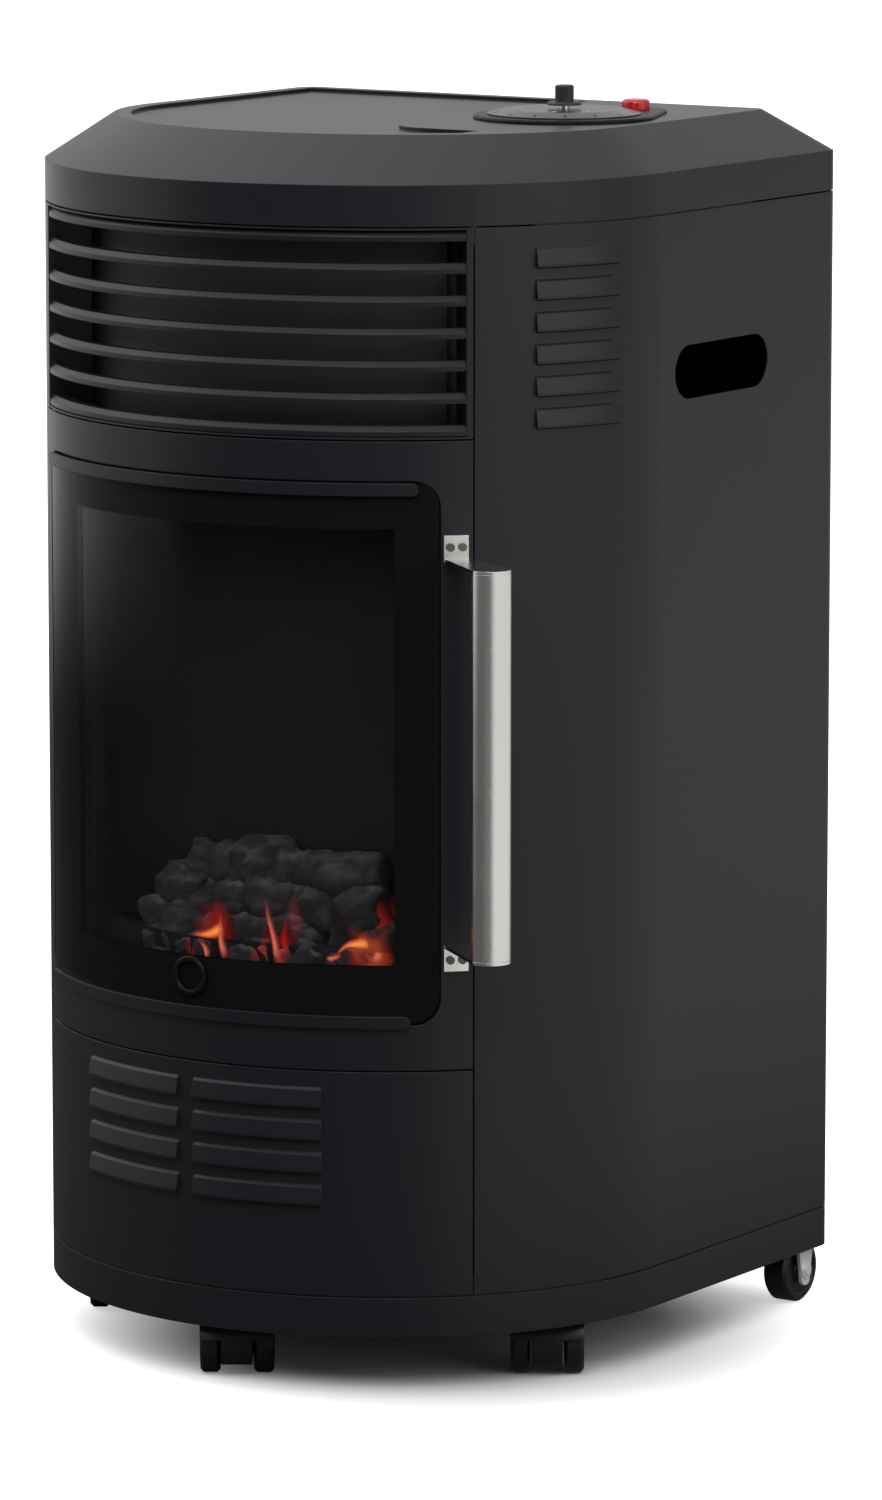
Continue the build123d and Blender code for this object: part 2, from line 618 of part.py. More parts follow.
def rear_opening(margin=0.0):
    """Half width and height range of the opening behind, grown by a margin."""
    half = WIDTH / 2 - BACK_RETURN - COVER_LAP + margin
    return half, UPSTAND_TOP - margin, REAR_OPENING_TOP + margin


def rear_frame():
    """Posts and head rail inside the back returns, and the flush strip above the cover."""
    half, _, head = rear_opening()
    outside = BACK_Y - PANEL_T - SEAT
    inside = outside - REAR_FRAME_T
    post = half + REAR_POST_W
    top = LID_SEAM - HALF_GAP
    foot = UPSTAND_TOP
    frame = box(-post, post, inside, outside, foot, top) - box(-half, half, inside - 1, outside + 1,
                                                              foot - 1, head)
    strip = WIDTH / 2 - BACK_RETURN - SEAT
    frame += box(-strip, strip, outside, BACK_Y, head + COVER_LAP, top)
    for x in (-post, post - REAR_FRAME_T):
        frame += box(x, x + REAR_FRAME_T, inside - FLANGE, inside + REAR_FRAME_T, foot, top)
    return frame


def rear_cover():
    """Flat cover between the back returns, with vent slots and a turned top edge."""
    half = WIDTH / 2 - BACK_RETURN - SEAM_GAP
    bottom, top = BASE_SEAM + HALF_GAP, REAR_OPENING_TOP + COVER_LAP - SEAM_GAP
    inner = BACK_Y - PANEL_T
    cover = box(-half, half, inner, BACK_Y, bottom, top)
    opening, _, head = rear_opening(-2 * SLIDE)
    for x in (-opening, opening - PANEL_T):
        cover += box(x, x + PANEL_T, inner - FLANGE, inner, UPSTAND_TOP + 2, head)
    slots = []
    for row in range(VENT_ROWS):
        for column in (-1, 0, 1):
            for start in (UPSTAND_TOP + VENT_ABOVE_UPSTAND, head - VENT_BELOW_HEAD):
                slot = extrude(Plane.XZ * SlotOverall(VENT_W, VENT_H), 4 * PANEL_T, both=True)
                slots.append(Pos(column * VENT_SPREAD, BACK_Y, start + row * VENT_PITCH) * slot)
    return cover - slots


def heat_shield():
    """Wall between the fire and the bottle, with flanges on the tray floor and at the top."""
    half = side_inner_x(SHIELD_Y, PANEL_T) - 2 * SEAT
    shield = box(-half, half, SHIELD_Y, SHIELD_Y + PANEL_T, TRAY_TOP, SHIELD_TOP)
    foot = half - FLANGE
    shield += box(-foot, foot, SHIELD_Y - FLANGE, SHIELD_Y + PANEL_T, TRAY_TOP, TRAY_TOP + PANEL_T)
    shield += box(-foot, foot, SHIELD_Y, SHIELD_Y + FLANGE, SHIELD_TOP - PANEL_T, SHIELD_TOP)
    upstand_inset = PANEL_T + SEAT + TRAY_T + SLIDE
    corner = side_inner_x(SHIELD_Y, upstand_inset)
    for x0, x1 in ((-half - 1, -corner), (corner, half + 1)):
        shield -= box(x0, x1, SHIELD_Y - 1, SHIELD_Y + 2 * PANEL_T, TRAY_TOP - 1, UPSTAND_TOP + 1)
    return shield


# ---- firebox and burner ------------------------------------------------------------------------
def pipe_x():
    """Side position of the gas pipe behind the firebox."""
    return FIREBOX_HALF_W - PIPE_FROM_FIREBOX_SIDE


def firebox_liner():
    """Box with an open front behind the glass, on four feet that reach back to the shield."""
    front = FIREBOX_FRONT_R
    back = FIREBOX_Y + FIREBOX_T
    liner = bay(FIREBOX_HALF_W, back, front, FIREBOX_BOTTOM, FIREBOX_TOP)
    hollow_half = FIREBOX_HALF_W - FIREBOX_T
    liner -= bay(hollow_half, FIREBOX_Y, front + 2, FIREBOX_BOTTOM + FIREBOX_T, FIREBOX_TOP - FIREBOX_T)
    for x in (-FIREBOX_HALF_W, -FOOT_W / 2, FIREBOX_HALF_W - FOOT_W / 2):
        for z in (FIREBOX_BOTTOM, FIREBOX_TOP - FIREBOX_T):
            liner += box(x, x + FOOT_W / 2, back - FIREBOX_T, SHIELD_Y, z, z + FIREBOX_T)
    for x, radius in ((pipe_x(), PIPE_R), (pilot_x(), PILOT_PIPE_R)):
        hole = Cylinder(radius + SLIDE, 8 * FIREBOX_T)
        liner -= Pos(x, FIREBOX_Y, BURNER_Z) * Rot(90, 0, 0) * hole
    return liner


def burner_bounds():
    """Front radius and back of the burner tray."""
    return FIREBOX_FRONT_R - BURNER_GAP, FIREBOX_Y - BURNER_GAP


def burner_tray():
    """Open pan on the floor of the firebox."""
    front, back = burner_bounds()
    floor = FIREBOX_BOTTOM + FIREBOX_T
    top = floor + BURNER_TRAY_H
    tray = bay(BURNER_HALF_W, back, front, floor, top)
    inner = BURNER_HALF_W - BURNER_T
    tray -= bay(inner, back - BURNER_T, front - BURNER_T, floor + BURNER_T, top + 1)
    for x in (pipe_x(), pilot_x()):
        tray -= Pos(x, back, BURNER_Z) * Rot(90, 0, 0) * Cylinder(PIPE_R + SLIDE, 8 * BURNER_T)
    return tray


def burner_line_y():
    return FIREBOX_Y - BURNER_GAP - BURNER_T - BURNER_R - 4


def burner_tube():
    """Level burner tube with gas ports along its top and a flared mouth at the injector."""
    y, z = burner_line_y(), BURNER_Z
    left, right = -BURNER_HALF_W + BURNER_END_GAP, injector_x() - INJECTOR_GAP
    tube = cross_bar(BURNER_R, left, right, y, z)
    tube -= cross_bar(BURNER_R - BURNER_T, left + BURNER_T, right + 1, y, z)
    flare = Pos(right + FLARE_L / 2, y, z) * Rot(0, 90, 0)
    tube += flare * Cone(BURNER_R, BURNER_R + FLARE_RISE, FLARE_L)
    tube -= flare * Cone(BURNER_R - BURNER_T, BURNER_R + FLARE_RISE - BURNER_T, FLARE_L + SEAT)
    pitch = (right - left) / (BURNER_PORTS + 1)
    tube -= [upright(PORT_R, z, z + BURNER_R + 1, left + (i + 1) * pitch, y) for i in range(BURNER_PORTS)]
    floor = FIREBOX_BOTTOM + FIREBOX_T + BURNER_T
    for x in (left + 5, right - 8):
        tube += box(x, x + 2, y - BURNER_R, y + BURNER_R, floor, z - BURNER_R + BURNER_T / 2)
    return tube


def injector_x():
    return pipe_x() - PIPE_R


def burner_injector():
    """Hexagon jet holder on the end of the gas pipe, aimed into the mouth of the burner."""
    y, z, x = burner_line_y(), BURNER_Z, pipe_x()
    body = extrude(Plane.YZ * RegularPolygon(PIPE_R + 2.4, 6), 2 * PIPE_R + 4, dir=(1, 0, 0))
    body = Pos(x - PIPE_R - 2, y, z) * body
    body += cross_bar(2.2, x - PIPE_R - 8, x - PIPE_R - 2, y, z)
    body -= cross_bar(0.8, x - PIPE_R - 9, x, y, z)
    socket = Pos(x, y + PIPE_R, z) * Rot(90, 0, 0) * Cylinder(PIPE_R + SEAT / 2, 2 * PIPE_R)
    return body - socket


def coal_grate():
    """Slotted plate on the rim of the burner tray that carries the coals."""
    front, back = burner_bounds()
    grate = bay(BURNER_HALF_W, back, front, GRATE_Z, GRATE_Z + GRATE_T)
    pitch = 2 * (BURNER_HALF_W - 6) / GRATE_BARS
    for i in range(GRATE_BARS):
        x = -BURNER_HALF_W + 6 + (i + 0.5) * pitch
        depth = sqrt(front ** 2 - (abs(x) + pitch / 2) ** 2)
        grate -= box(x - pitch / 3, x + pitch / 3, FRONT_CENTRE_Y - depth + 6, back - 6,
                     GRATE_Z - 1, GRATE_Z + GRATE_T + 1)
    return grate


def coal(size, tilt, spin):
    """One lump: a block with broken corners, tipped and turned."""
    lump = Box(size, size * 0.72, size * 0.62)
    lump = chamfer(lump.edges(), size * 0.14)
    return Rot(tilt, tilt / 2, spin) * lump


def ceramic_coals():
    """Moulded coal bed: a slab with two banks of lumps, the rear bank heaped on the front one."""
    front, back = burner_bounds()
    base = GRATE_Z + GRATE_T
    bed_front = front - COAL_BED_INSET
    bed = bay(BURNER_HALF_W - COAL_BED_INSET, back - COAL_BED_INSET, bed_front, base, base + COAL_BASE_T)
    pitch = 2 * BURNER_HALF_W / COAL_COLUMNS
    whole = pitch * COAL_FILL
    banks = ((0.30, 0.25, 1.0), (0.72, 0.75, 1.0), (0.80, 1.35, 0.9))
    for bank, (across, lift, scale) in enumerate(banks):
        for i in range(COAL_COLUMNS - bank):
            x = -BURNER_HALF_W + (i + (bank + 1) / 2) * pitch
            size = whole * scale * (1.0 + 0.12 * sin(2.3 * i + bank))
            edge = FRONT_CENTRE_Y - sqrt(bed_front ** 2 - x ** 2)
            y = edge + across * (back - edge)
            reach = size * 0.5
            y = min(max(y, edge + reach * 0.9), back - reach * 0.62)
            z = base + COAL_BASE_T + whole * (lift / 2 + cos(1.7 * i + bank) / 12)
            bed += Pos(x, y, z) * coal(size, COAL_TILT * sin(1.9 * i + bank), COAL_TURN * (i + bank))
    limit = bay(BURNER_HALF_W, back, front - COAL_BED_INSET / 2, base, base + 4 * whole)
    return bed & limit


def pilot_x():
    """Side position of the pilot pipe and the pilot head."""
    return pipe_x() + PILOT_FROM_PIPE


def pilot_burner():
    """Pilot head on a small bracket at the end of the burner tray."""
    x, y = pilot_x(), burner_line_y()
    floor = FIREBOX_BOTTOM + FIREBOX_T + BURNER_T
    foot = box(x - 6, x + 8, y - 10, y + 8, floor, floor + 1.2)
    post = box(x - 6, x - 4.8, y - 10, y + 8, floor, BURNER_Z + 2.2)
    shelf = box(x - 6, x + 8, y - 10, y + 2, BURNER_Z + 1, BURNER_Z + 2.2)
    head = upright(PILOT_HEAD_R, BURNER_Z - 5, BURNER_Z + 9, x, y)
    head -= upright(1.2, BURNER_Z, BURNER_Z + 10, x, y)
    assembly = foot + post + shelf + head
    for dx, dy in probe_places():
        assembly -= upright(1.5 + SEAT / 2, floor + 2, BURNER_Z + 4, x + dx, y + dy)
    return assembly


def probe_places():
    """Where the thermocouple and the spark electrode stand beside the pilot head."""
    return (5.0, -2.0), (0.0, -7.0)


def probe(index, height):
    """Thin rod with a collar, through the shelf of the pilot bracket."""
    dx, dy = probe_places()[index]
    x, y = pilot_x() + dx, burner_line_y() + dy
    rod = upright(1.5, BURNER_Z - 6, BURNER_Z + height, x, y)
    return rod + upright(2.2, BURNER_Z + 2.2 + SEAT, BURNER_Z + 4.2, x, y)


# ---- gas train ---------------------------------------------------------------------------------
def bent_pipe(radius, corners):
    """Round pipe along straight runs, with the corners bent to one radius."""
    path = FilletPolyline(*corners, radius=PIPE_BEND)
    start = path @ 0
    section = Plane(origin=start, z_dir=path % 0) * Circle(radius)
    return sweep(section, path)


def pipe_route(start_x, x, end_y):
    """Corners from the front of the valve, over the shield, down behind the firebox and in."""
    z, start_y = VALVE_TOP - VALVE_H / 2, KNOB_Y - VALVE_L / 2 - SEAT
    return [(start_x, start_y, z), (start_x, start_y - PIPE_STRAIGHT, z),
            (x, start_y - PIPE_SWEEP, z), (x, PIPE_Y, z), (x, PIPE_Y, BURNER_Z), (x, end_y, BURNER_Z)]


def gas_pipe():
    """Pipe from the valve to the injector."""
    end_y = burner_line_y() + PIPE_R / 2
    return bent_pipe(PIPE_R, pipe_route(KNOB_X - PIPE_OFFSET, pipe_x(), end_y))


def pilot_pipe():
    """Thin pipe beside the gas pipe, from the valve to the pilot head."""
    end_y = burner_line_y() + PILOT_HEAD_R + SEAT
    return bent_pipe(PILOT_PIPE_R, pipe_route(KNOB_X + PIPE_OFFSET, pilot_x(), end_y))


def gas_valve():
    """Valve body with a spindle neck on top, under the control plate."""
    bottom = VALVE_TOP - VALVE_H
    body = box(KNOB_X - VALVE_W / 2, KNOB_X + VALVE_W / 2, KNOB_Y - VALVE_L / 2, KNOB_Y + VALVE_L / 2,
               bottom, VALVE_TOP)
    body = chamfer(body.edges().filter_by(Axis.Z), 3.0)
    body += upright(8.0, VALVE_TOP, LID_CEILING - SLIDE, KNOB_X, KNOB_Y)
    body -= upright(SPINDLE_R + RUN, bottom + 4, LID_CEILING, KNOB_X, KNOB_Y)
    return body - upright(NOZZLE_R, bottom - 1, bottom + NOZZLE_SEAT_H, KNOB_X, NOZZLE_Y)


def inlet_nozzle():
    """Barbed nozzle under the valve that takes the hose from the bottle."""
    y = NOZZLE_Y
    top = VALVE_TOP - VALVE_H + NOZZLE_SEAT_H
    low = VALVE_TOP - VALVE_H - BRACKET_T - NOZZLE_LENGTH
    nozzle = upright(NOZZLE_R - SEAT / 2, low, top - 1, KNOB_X, y)
    for i in range(BARBS):
        z = low + BARB_PITCH / 2 + i * BARB_PITCH
        nozzle += Pos(KNOB_X, y, z) * Cone(NOZZLE_R - BARB_RISE / 2, NOZZLE_R + BARB_RISE, BARB_H)
    collar = VALVE_TOP - VALVE_H - BRACKET_T - SEAT
    nozzle += upright(NOZZLE_R + 3, collar - 5, collar, KNOB_X, y)
    return nozzle - upright(NOZZLE_R / 2, low - 1, top - 4, KNOB_X, y)


def valve_bracket():
    """Hanger under the lid: a shelf for the valve and the igniter between two side straps."""
    shelf_top = VALVE_TOP - VALVE_H
    x0, x1 = KNOB_X - VALVE_W / 2 - 3, BUTTON_X + IGNITER_R + 6
    y0, y1 = KNOB_Y - 8, BUTTON_Y + IGNITER_R + 4
    shelf = box(x0, x1, y0, y1, shelf_top - BRACKET_T, shelf_top)
    for x in (x0, x1 - BRACKET_T):
        shelf += box(x, x + BRACKET_T, y0, y1, shelf_top - BRACKET_T, LID_CEILING)
    for x, out in ((x0 - FLANGE, FLANGE), (x1 - BRACKET_T, FLANGE)):
        shelf += box(x, x + out + BRACKET_T, y0, y1, LID_CEILING - BRACKET_T, LID_CEILING)
    shelf -= upright(NOZZLE_R + SEAT, shelf_top - 3, shelf_top + 1, KNOB_X, NOZZLE_Y)
    return shelf - upright(IGNITER_R - 3, shelf_top - 3, shelf_top + 1, BUTTON_X, BUTTON_Y)


def igniter_body():
    """Spark generator that stands on the bracket below the red button."""
    shelf = VALVE_TOP - VALVE_H
    top = LID_CEILING - SLIDE
    body = upright(IGNITER_R, shelf, top, BUTTON_X, BUTTON_Y)
    body += upright(IGNITER_R - 3 - SEAT, shelf - 4, shelf, BUTTON_X, BUTTON_Y)
    return body - upright(plunger_r() + RUN, shelf + 4, top + 1, BUTTON_X, BUTTON_Y)


def plunger_r():
    return BUTTON_R / 2


def igniter_button():
    """Round red button with a crowned top, on a plunger that runs in the spark generator."""
    top = PLATE_TOP + BUTTON_PROUD
    cap = upright(BUTTON_R, top - BUTTON_H, top, BUTTON_X, BUTTON_Y)
    cap = fillet(cap.edges().group_by(Axis.Z)[-1], 2.4)
    shaft_low = VALVE_TOP - VALVE_H + 4 + BUTTON_TRAVEL + 2
    return cap + upright(plunger_r(), shaft_low, top - BUTTON_H / 2, BUTTON_X, BUTTON_Y)


def teardrop(inset=0.0):
    """Plan face of the control plate: a big and a small circle joined by their tangents."""
    big, small = PLATE_R - inset, PLATE_TAIL_R - inset
    span = sqrt(BUTTON_DX ** 2 + BUTTON_DY ** 2)
    lean = atan2(BUTTON_DY, BUTTON_DX)
    spread = sqrt(span ** 2 - (big - small) ** 2)
    open_angle = atan2(spread, big - small)

    def at(cx, cy, radius, angle):
        return (cx + radius * cos(angle), cy + radius * sin(angle))

    left, right = lean + open_angle, lean - open_angle
    head = [at(KNOB_X, KNOB_Y, big, a) for a in (left, lean + radians(180), right)]
    tail = [at(BUTTON_X, BUTTON_Y, small, a) for a in (right, lean, left)]
    edges = [ThreePointArc(*head), Line(head[2], tail[0]), ThreePointArc(*tail), Line(tail[2], head[0])]
    return make_face(edges)


def control_plate():
    """Glossy plate with a bevelled edge under the knob and the button."""
    bevel = 1.2
    plate = prism(teardrop(), LID_TOP, PLATE_TOP - bevel)
    cap = loft([Pos(0, 0, PLATE_TOP - bevel) * teardrop(), Pos(0, 0, PLATE_TOP) * teardrop(bevel)],
               ruled=True)
    plate += cap
    plate -= upright(KNOB_FLANGE_R, LID_TOP - 1, PLATE_TOP + 1, KNOB_X, KNOB_Y)
    return plate - upright(BUTTON_R + SLIDE, LID_TOP - 1, PLATE_TOP + 1, BUTTON_X, BUTTON_Y)


def dial_plate():
    """Raised dial round the knob, with a sloping band that carries the graduations."""
    profile = [(0, PLATE_TOP), (DIAL_R, PLATE_TOP), (DIAL_R, PLATE_TOP + DIAL_H - DIAL_CHAMFER),
               (DIAL_TOP_R, DIAL_TOP), (0, DIAL_TOP)]
    face = Plane.XZ * make_face(Polyline(*profile, close=True))
    dial = Pos(KNOB_X, KNOB_Y, 0) * revolve(face, Axis.Z)
    for i in range(DIAL_TICKS):
        angle = CASTOR_TURN - 90 - 100 + i * 200 / (DIAL_TICKS - 1)
        tick = Pos(DIAL_R - 4, 0, DIAL_TOP) * Box(4, 1.0, 2 * DIAL_CHAMFER)
        dial -= Pos(KNOB_X, KNOB_Y, 0) * Rot(0, 0, angle) * tick
    return dial - upright(SPINDLE_R + SLIDE, PLATE_TOP - 1, DIAL_TOP + 1, KNOB_X, KNOB_Y)


def control_knob():
    """Slim knurled knob on a round flange, lifted clear of the dial by its push travel."""
    low = DIAL_TOP + KNOB_TRAVEL + SLIDE
    knob = upright(KNOB_FLANGE_R, low, low + KNOB_FLANGE_H, KNOB_X, KNOB_Y)
    knob = chamfer(knob.edges().group_by(Axis.Z)[-1], KNOB_FLANGE_H / 2)
    grip_top = low + KNOB_FLANGE_H + KNOB_H
    grip = upright(KNOB_R, low, grip_top, KNOB_X, KNOB_Y)
    grip = chamfer(grip.edges().group_by(Axis.Z)[-1], 0.8)
    for i in range(KNOB_FLUTES):
        turn = Rot(0, 0, i * 360 / KNOB_FLUTES)
        flute = Pos(KNOB_R + 0.35, 0, 0) * Rot(0, 0, 45) * Box(0.9, 0.9, KNOB_H - 2)
        grip -= Pos(KNOB_X, KNOB_Y, grip_top - KNOB_H / 2) * turn * flute
    return knob + grip - upright(SPINDLE_R + SEAT / 2, low - 1, grip_top - 3, KNOB_X, KNOB_Y)


def valve_spindle():
    """Spindle from the valve up into the knob."""
    low = VALVE_TOP - VALVE_H + 4 + KNOB_TRAVEL + 1
    top = DIAL_TOP + KNOB_TRAVEL + SLIDE + KNOB_FLANGE_H + KNOB_H - 3 - SEAT
    return upright(SPINDLE_R, low, top, KNOB_X, KNOB_Y)


# ---- lid ---------------------------------------------------------------------------------------
def pad_region():
    """Plan face that stays raised round the controls, with a rounded front left corner."""
    left = PLATEAU_HALF_W - PAD_FROM_SIDE
    front = FRONT_Y + LID_SLOPE_FRONT + PAD_FROM_FRONT
    far_x, far_y = WIDTH / 2, BACK_Y
    bend = PAD_RADIUS * (1 - cos(radians(45)))
    edges = [ThreePointArc((left, front + PAD_RADIUS), (left + bend, front + bend),
                           (left + PAD_RADIUS, front)),
             Line((left + PAD_RADIUS, front), (far_x, front)), Line((far_x, front), (far_x, far_y)),
             Line((far_x, far_y), (left, far_y)), Line((left, far_y), (left, front + PAD_RADIUS))]
    channel_end = PLATEAU_HALF_W - CHANNEL_END_FROM_SIDE
    corner = Pos((channel_end + far_x) / 2, 0) * Rectangle(far_x - channel_end, DEPTH)
    return make_face(edges) + corner


def lid():
    """Hollow lid: an upright skirt, a slope on all sides, and a flat top with a shallow recess."""
    bottom = LID_SEAM + HALF_GAP
    shell = prism(cabinet(), bottom, LID_EDGE)
    shell += loft([Pos(0, 0, LID_EDGE) * cabinet(), Pos(0, 0, LID_TOP) * plateau()], ruled=True)
    turn_in = LID_EDGE - LID_T
    shell -= prism(cabinet(LID_T), bottom - 1, turn_in)
    shell -= loft([Pos(0, 0, turn_in) * cabinet(LID_T), Pos(0, 0, LID_CEILING) * plateau()], ruled=True)
    recess = plateau(RECESS_INSET) - pad_region()
    shell -= prism(recess, LID_FLOOR, LID_TOP + 1)
    lip = PANEL_T + SEAT
    tongue = ring(lip, lip + LID_T, bottom - LIP_DEPTH, bottom + LID_T)
    middle_y, reach = 0.0, BACK_Y / 2
    keep = box(-WIDTH, WIDTH, middle_y - reach, middle_y + reach, 0, LID_TOP)
    shell += tongue & keep
    shell -= upright(SPINDLE_R + SLIDE, LID_CEILING - 1, LID_TOP + 1, KNOB_X, KNOB_Y)
    return shell - upright(BUTTON_R + SLIDE, LID_CEILING - 1, LID_TOP + 1, BUTTON_X, BUTTON_Y)


# ---- door --------------------------------------------------------------------------------------
def hinge_axis():
    """Plan point of the hinge pins, just inside the left edge of the door."""
    return on_arc(FRONT_RADIUS - HINGE_INSET, -EDGE_ANGLE + angle_of(HINGE_FROM_EDGE))


def glass_opening(margin, outer, inner, corner):
    """A bowed block as large as the glass, grown by a margin, with rounded corners."""
    grow = angle_of(margin)
    block = bowed(outer, inner, GLASS_LEFT_ANGLE - grow, GLASS_RIGHT_ANGLE + grow,
                  GLASS_BOTTOM - margin, GLASS_TOP + margin)
    edges = [e for e in block.edges() if abs((e % 0).Z) < 0.01
             and abs(e.length - (inner - outer)) < 0.01]
    return fillet(edges, corner + margin)


def door_frame():
    """Bowed steel door: skin, returns all round, and a rebate with a ledge for the glass."""
    bottom, top = DOOR_SEAM + HALF_GAP, GRILLE_SEAM - HALF_GAP
    door = bowed(0, PANEL_T, -EDGE_ANGLE, EDGE_ANGLE, bottom, top)
    for z in (bottom, top - PANEL_T):
        door += bowed(0, DOOR_DEPTH, -EDGE_ANGLE, EDGE_ANGLE, z, z + PANEL_T)
    strip = angle_of(PANEL_T)
    for start in (-EDGE_ANGLE, EDGE_ANGLE - strip):
        door += bowed(PANEL_T / 2, DOOR_DEPTH, start, start + strip, bottom, top)
    strike = angle_of(STRIKE_W)
    door += bowed(DOOR_DEPTH - PANEL_T, DOOR_DEPTH, EDGE_ANGLE - strike, EDGE_ANGLE, bottom, top)
    seat = GLASS_SINK + GLASS_T + GASKET_T
    rebate = glass_opening(GLASS_GAP + PANEL_T, 0, seat + PANEL_T, GLASS_CORNER)
    door += rebate
    door -= glass_opening(GLASS_GAP, -1, seat, GLASS_CORNER)
    door -= glass_opening(-LEDGE_W, -2, DOOR_DEPTH + 2, GLASS_CORNER + LEDGE_W / 2)
    hinge_x, hinge_y = hinge_axis()
    for z in (bottom, top):
        door -= upright(HINGE_PIN_R + RUN, z - 2 * PANEL_T, z + 2 * PANEL_T, hinge_x, hinge_y)
    for x, y, z in screw_places():
        door -= screw_hole(x, y, z)
    return door


def door_glass():
    """Bowed pane with two rounded right corners."""
    return glass_opening(0, GLASS_SINK, GLASS_SINK + GLASS_T, GLASS_CORNER)


def glass_gasket():
    """Flat rope seal between the pane and the ledge of the door."""
    outer = GLASS_SINK + GLASS_T
    seal = glass_opening(-1.0, outer + SEAT / 3, outer + GASKET_T - SEAT / 3, GLASS_CORNER)
    return seal - glass_opening(-LEDGE_W, outer - 1, outer + 2 * GASKET_T, GLASS_CORNER + LEDGE_W / 2)


def glass_rail(low, high, right):
    """Trim rail with rounded ends on the face of the pane."""
    rail = bowed(-SEAT - RAIL_PROUD, -SEAT, RAIL_LEFT_ANGLE, right, low, high)
    ends = [e for e in rail.edges() if abs((e % 0).Z) < 0.01 and abs(e.length - RAIL_PROUD) < 0.01]
    return fillet(ends, (high - low) / 2 - 0.2)


def top_rail():
    """Rail over the top edge of the pane."""
    high = GLASS_TOP + TOP_RAIL_LAP
    return glass_rail(high - TOP_RAIL_H, high, TOP_RAIL_RIGHT_ANGLE)


def bottom_rail():
    """Rail over the bottom edge of the pane."""
    low = GLASS_BOTTOM - BOTTOM_RAIL_LAP
    return glass_rail(low, low + BOTTOM_RAIL_H, BOTTOM_RAIL_RIGHT_ANGLE)


def sight_ring():
    """Round bezel on the pane over the pilot flame."""
    face_y = FRONT_Y + GLASS_SINK - 2 * SEAT
    ring_body = Cylinder(SIGHT_RING_R, SIGHT_RING_H) - Cylinder(SIGHT_RING_BORE, SIGHT_RING_H + 1)
    ring_body = chamfer(ring_body.edges().group_by(Axis.Z)[-1], 0.8)
    return Pos(SIGHT_RING_X, face_y - SIGHT_RING_H / 2,
               GLASS_BOTTOM + SIGHT_RING_ABOVE_GLASS) * Rot(90, 0, 0) * ring_body


def tab_middle():
    """Plan point on the door behind the middle of the handle tabs."""
    return on_arc(FRONT_RADIUS, (TAB_START_ANGLE + TAB_END_ANGLE) / 2)


def handle_centre():
    """Plan point of the middle of the handle bar."""
    x, y = tab_middle()
    turn = radians(HANDLE_TURN)
    return x + HANDLE_STANDOFF * sin(turn), y - HANDLE_STANDOFF * cos(turn)


def handle_bar():
    """Upright half round bar with its flat side to the door."""
    x, y = handle_centre()
    half = HANDLE_W / 2
    flat = HANDLE_FLAT
    face = make_face([ThreePointArc((-half, 0), (0, -HANDLE_BACK), (half, 0)),
                      Line((half, 0), (half, flat)), Line((half, flat), (-half, flat)),
                      Line((-half, flat), (-half, 0))])
    bar = prism(face, HANDLE_BOTTOM, HANDLE_TOP)
    return Pos(x, y, 0) * Rot(0, 0, HANDLE_TURN) * bar


def handle_brackets():
    """Two bent straps: an upright tab on the door and a level arm out to the end of the bar."""
    x, y = handle_centre()
    turn = radians(HANDLE_TURN)
    half = HANDLE_W / 2
    across = (half * cos(turn), half * sin(turn))
    out = (HANDLE_BACK * sin(turn), -HANDLE_BACK * cos(turn))
    start = on_arc(FRONT_RADIUS + SEAT, TAB_START_ANGLE)
    end = on_arc(FRONT_RADIUS + SEAT, TAB_END_ANGLE)
    left = (x - across[0], y - across[1])
    right = (x + across[0], y + across[1])
    tip = (x + out[0], y + out[1])
    mid = on_arc(FRONT_RADIUS + SEAT, (TAB_START_ANGLE + TAB_END_ANGLE) / 2)
    arm = make_face([Line(start, left), ThreePointArc(left, tip, right), Line(right, end),
                     ThreePointArc(end, mid, start)])
    straps = []
    for low, tab_low in ((HANDLE_BOTTOM - HANDLE_ARM_T, HANDLE_BOTTOM - HANDLE_TAB_H),
                         (HANDLE_TOP, HANDLE_TOP)):
        strap = prism(arm, low, low + HANDLE_ARM_T)
        strap += bowed(-SEAT - HANDLE_TAB_T, -SEAT, TAB_START_ANGLE, TAB_END_ANGLE, tab_low,
                       tab_low + HANDLE_TAB_H)
        straps.append(strap)
    screws = [screw_hole(*place) for place in screw_places()]
    return Compound([strap - screws for strap in straps])


def screw_places():
    """Plan angle, radius and height of the four handle screws."""
    places = []
    middle = (TAB_START_ANGLE + TAB_END_ANGLE) / 2
    for z in (HANDLE_BOTTOM - HANDLE_TAB_H / 2 - 1, HANDLE_TOP + HANDLE_TAB_H / 2 + 1):
        for side in (-1, 1):
            places.append((middle + side * angle_of(SCREW_SPACING / 2), FRONT_RADIUS, z))
    return places


def radial_bar(radius, angle, inner, outer, z):
    """A round bar that points out from the bow at an angle."""
    x, y = on_arc((inner + outer) / 2, angle)
    return Pos(x, y, z) * Rot(0, 0, angle) * Rot(90, 0, 0) * Cylinder(radius, outer - inner)


def screw_hole(angle, radius, z):
    return radial_bar(SCREW_R + SEAT, angle, radius - 3, radius + 6, z)


def handle_screws():
    """Pan head screws through the handle tabs into the door."""
    screws = []
    for angle, radius, z in screw_places():
        face = radius + SEAT + HANDLE_TAB_T + SEAT
        shank = radial_bar(SCREW_R, angle, radius - PANEL_T - 1.6, face + 0.2, z)
        screws.append(shank + radial_bar(SCREW_HEAD_R, angle, face, face + SCREW_HEAD_H, z))
    return Compound(screws)


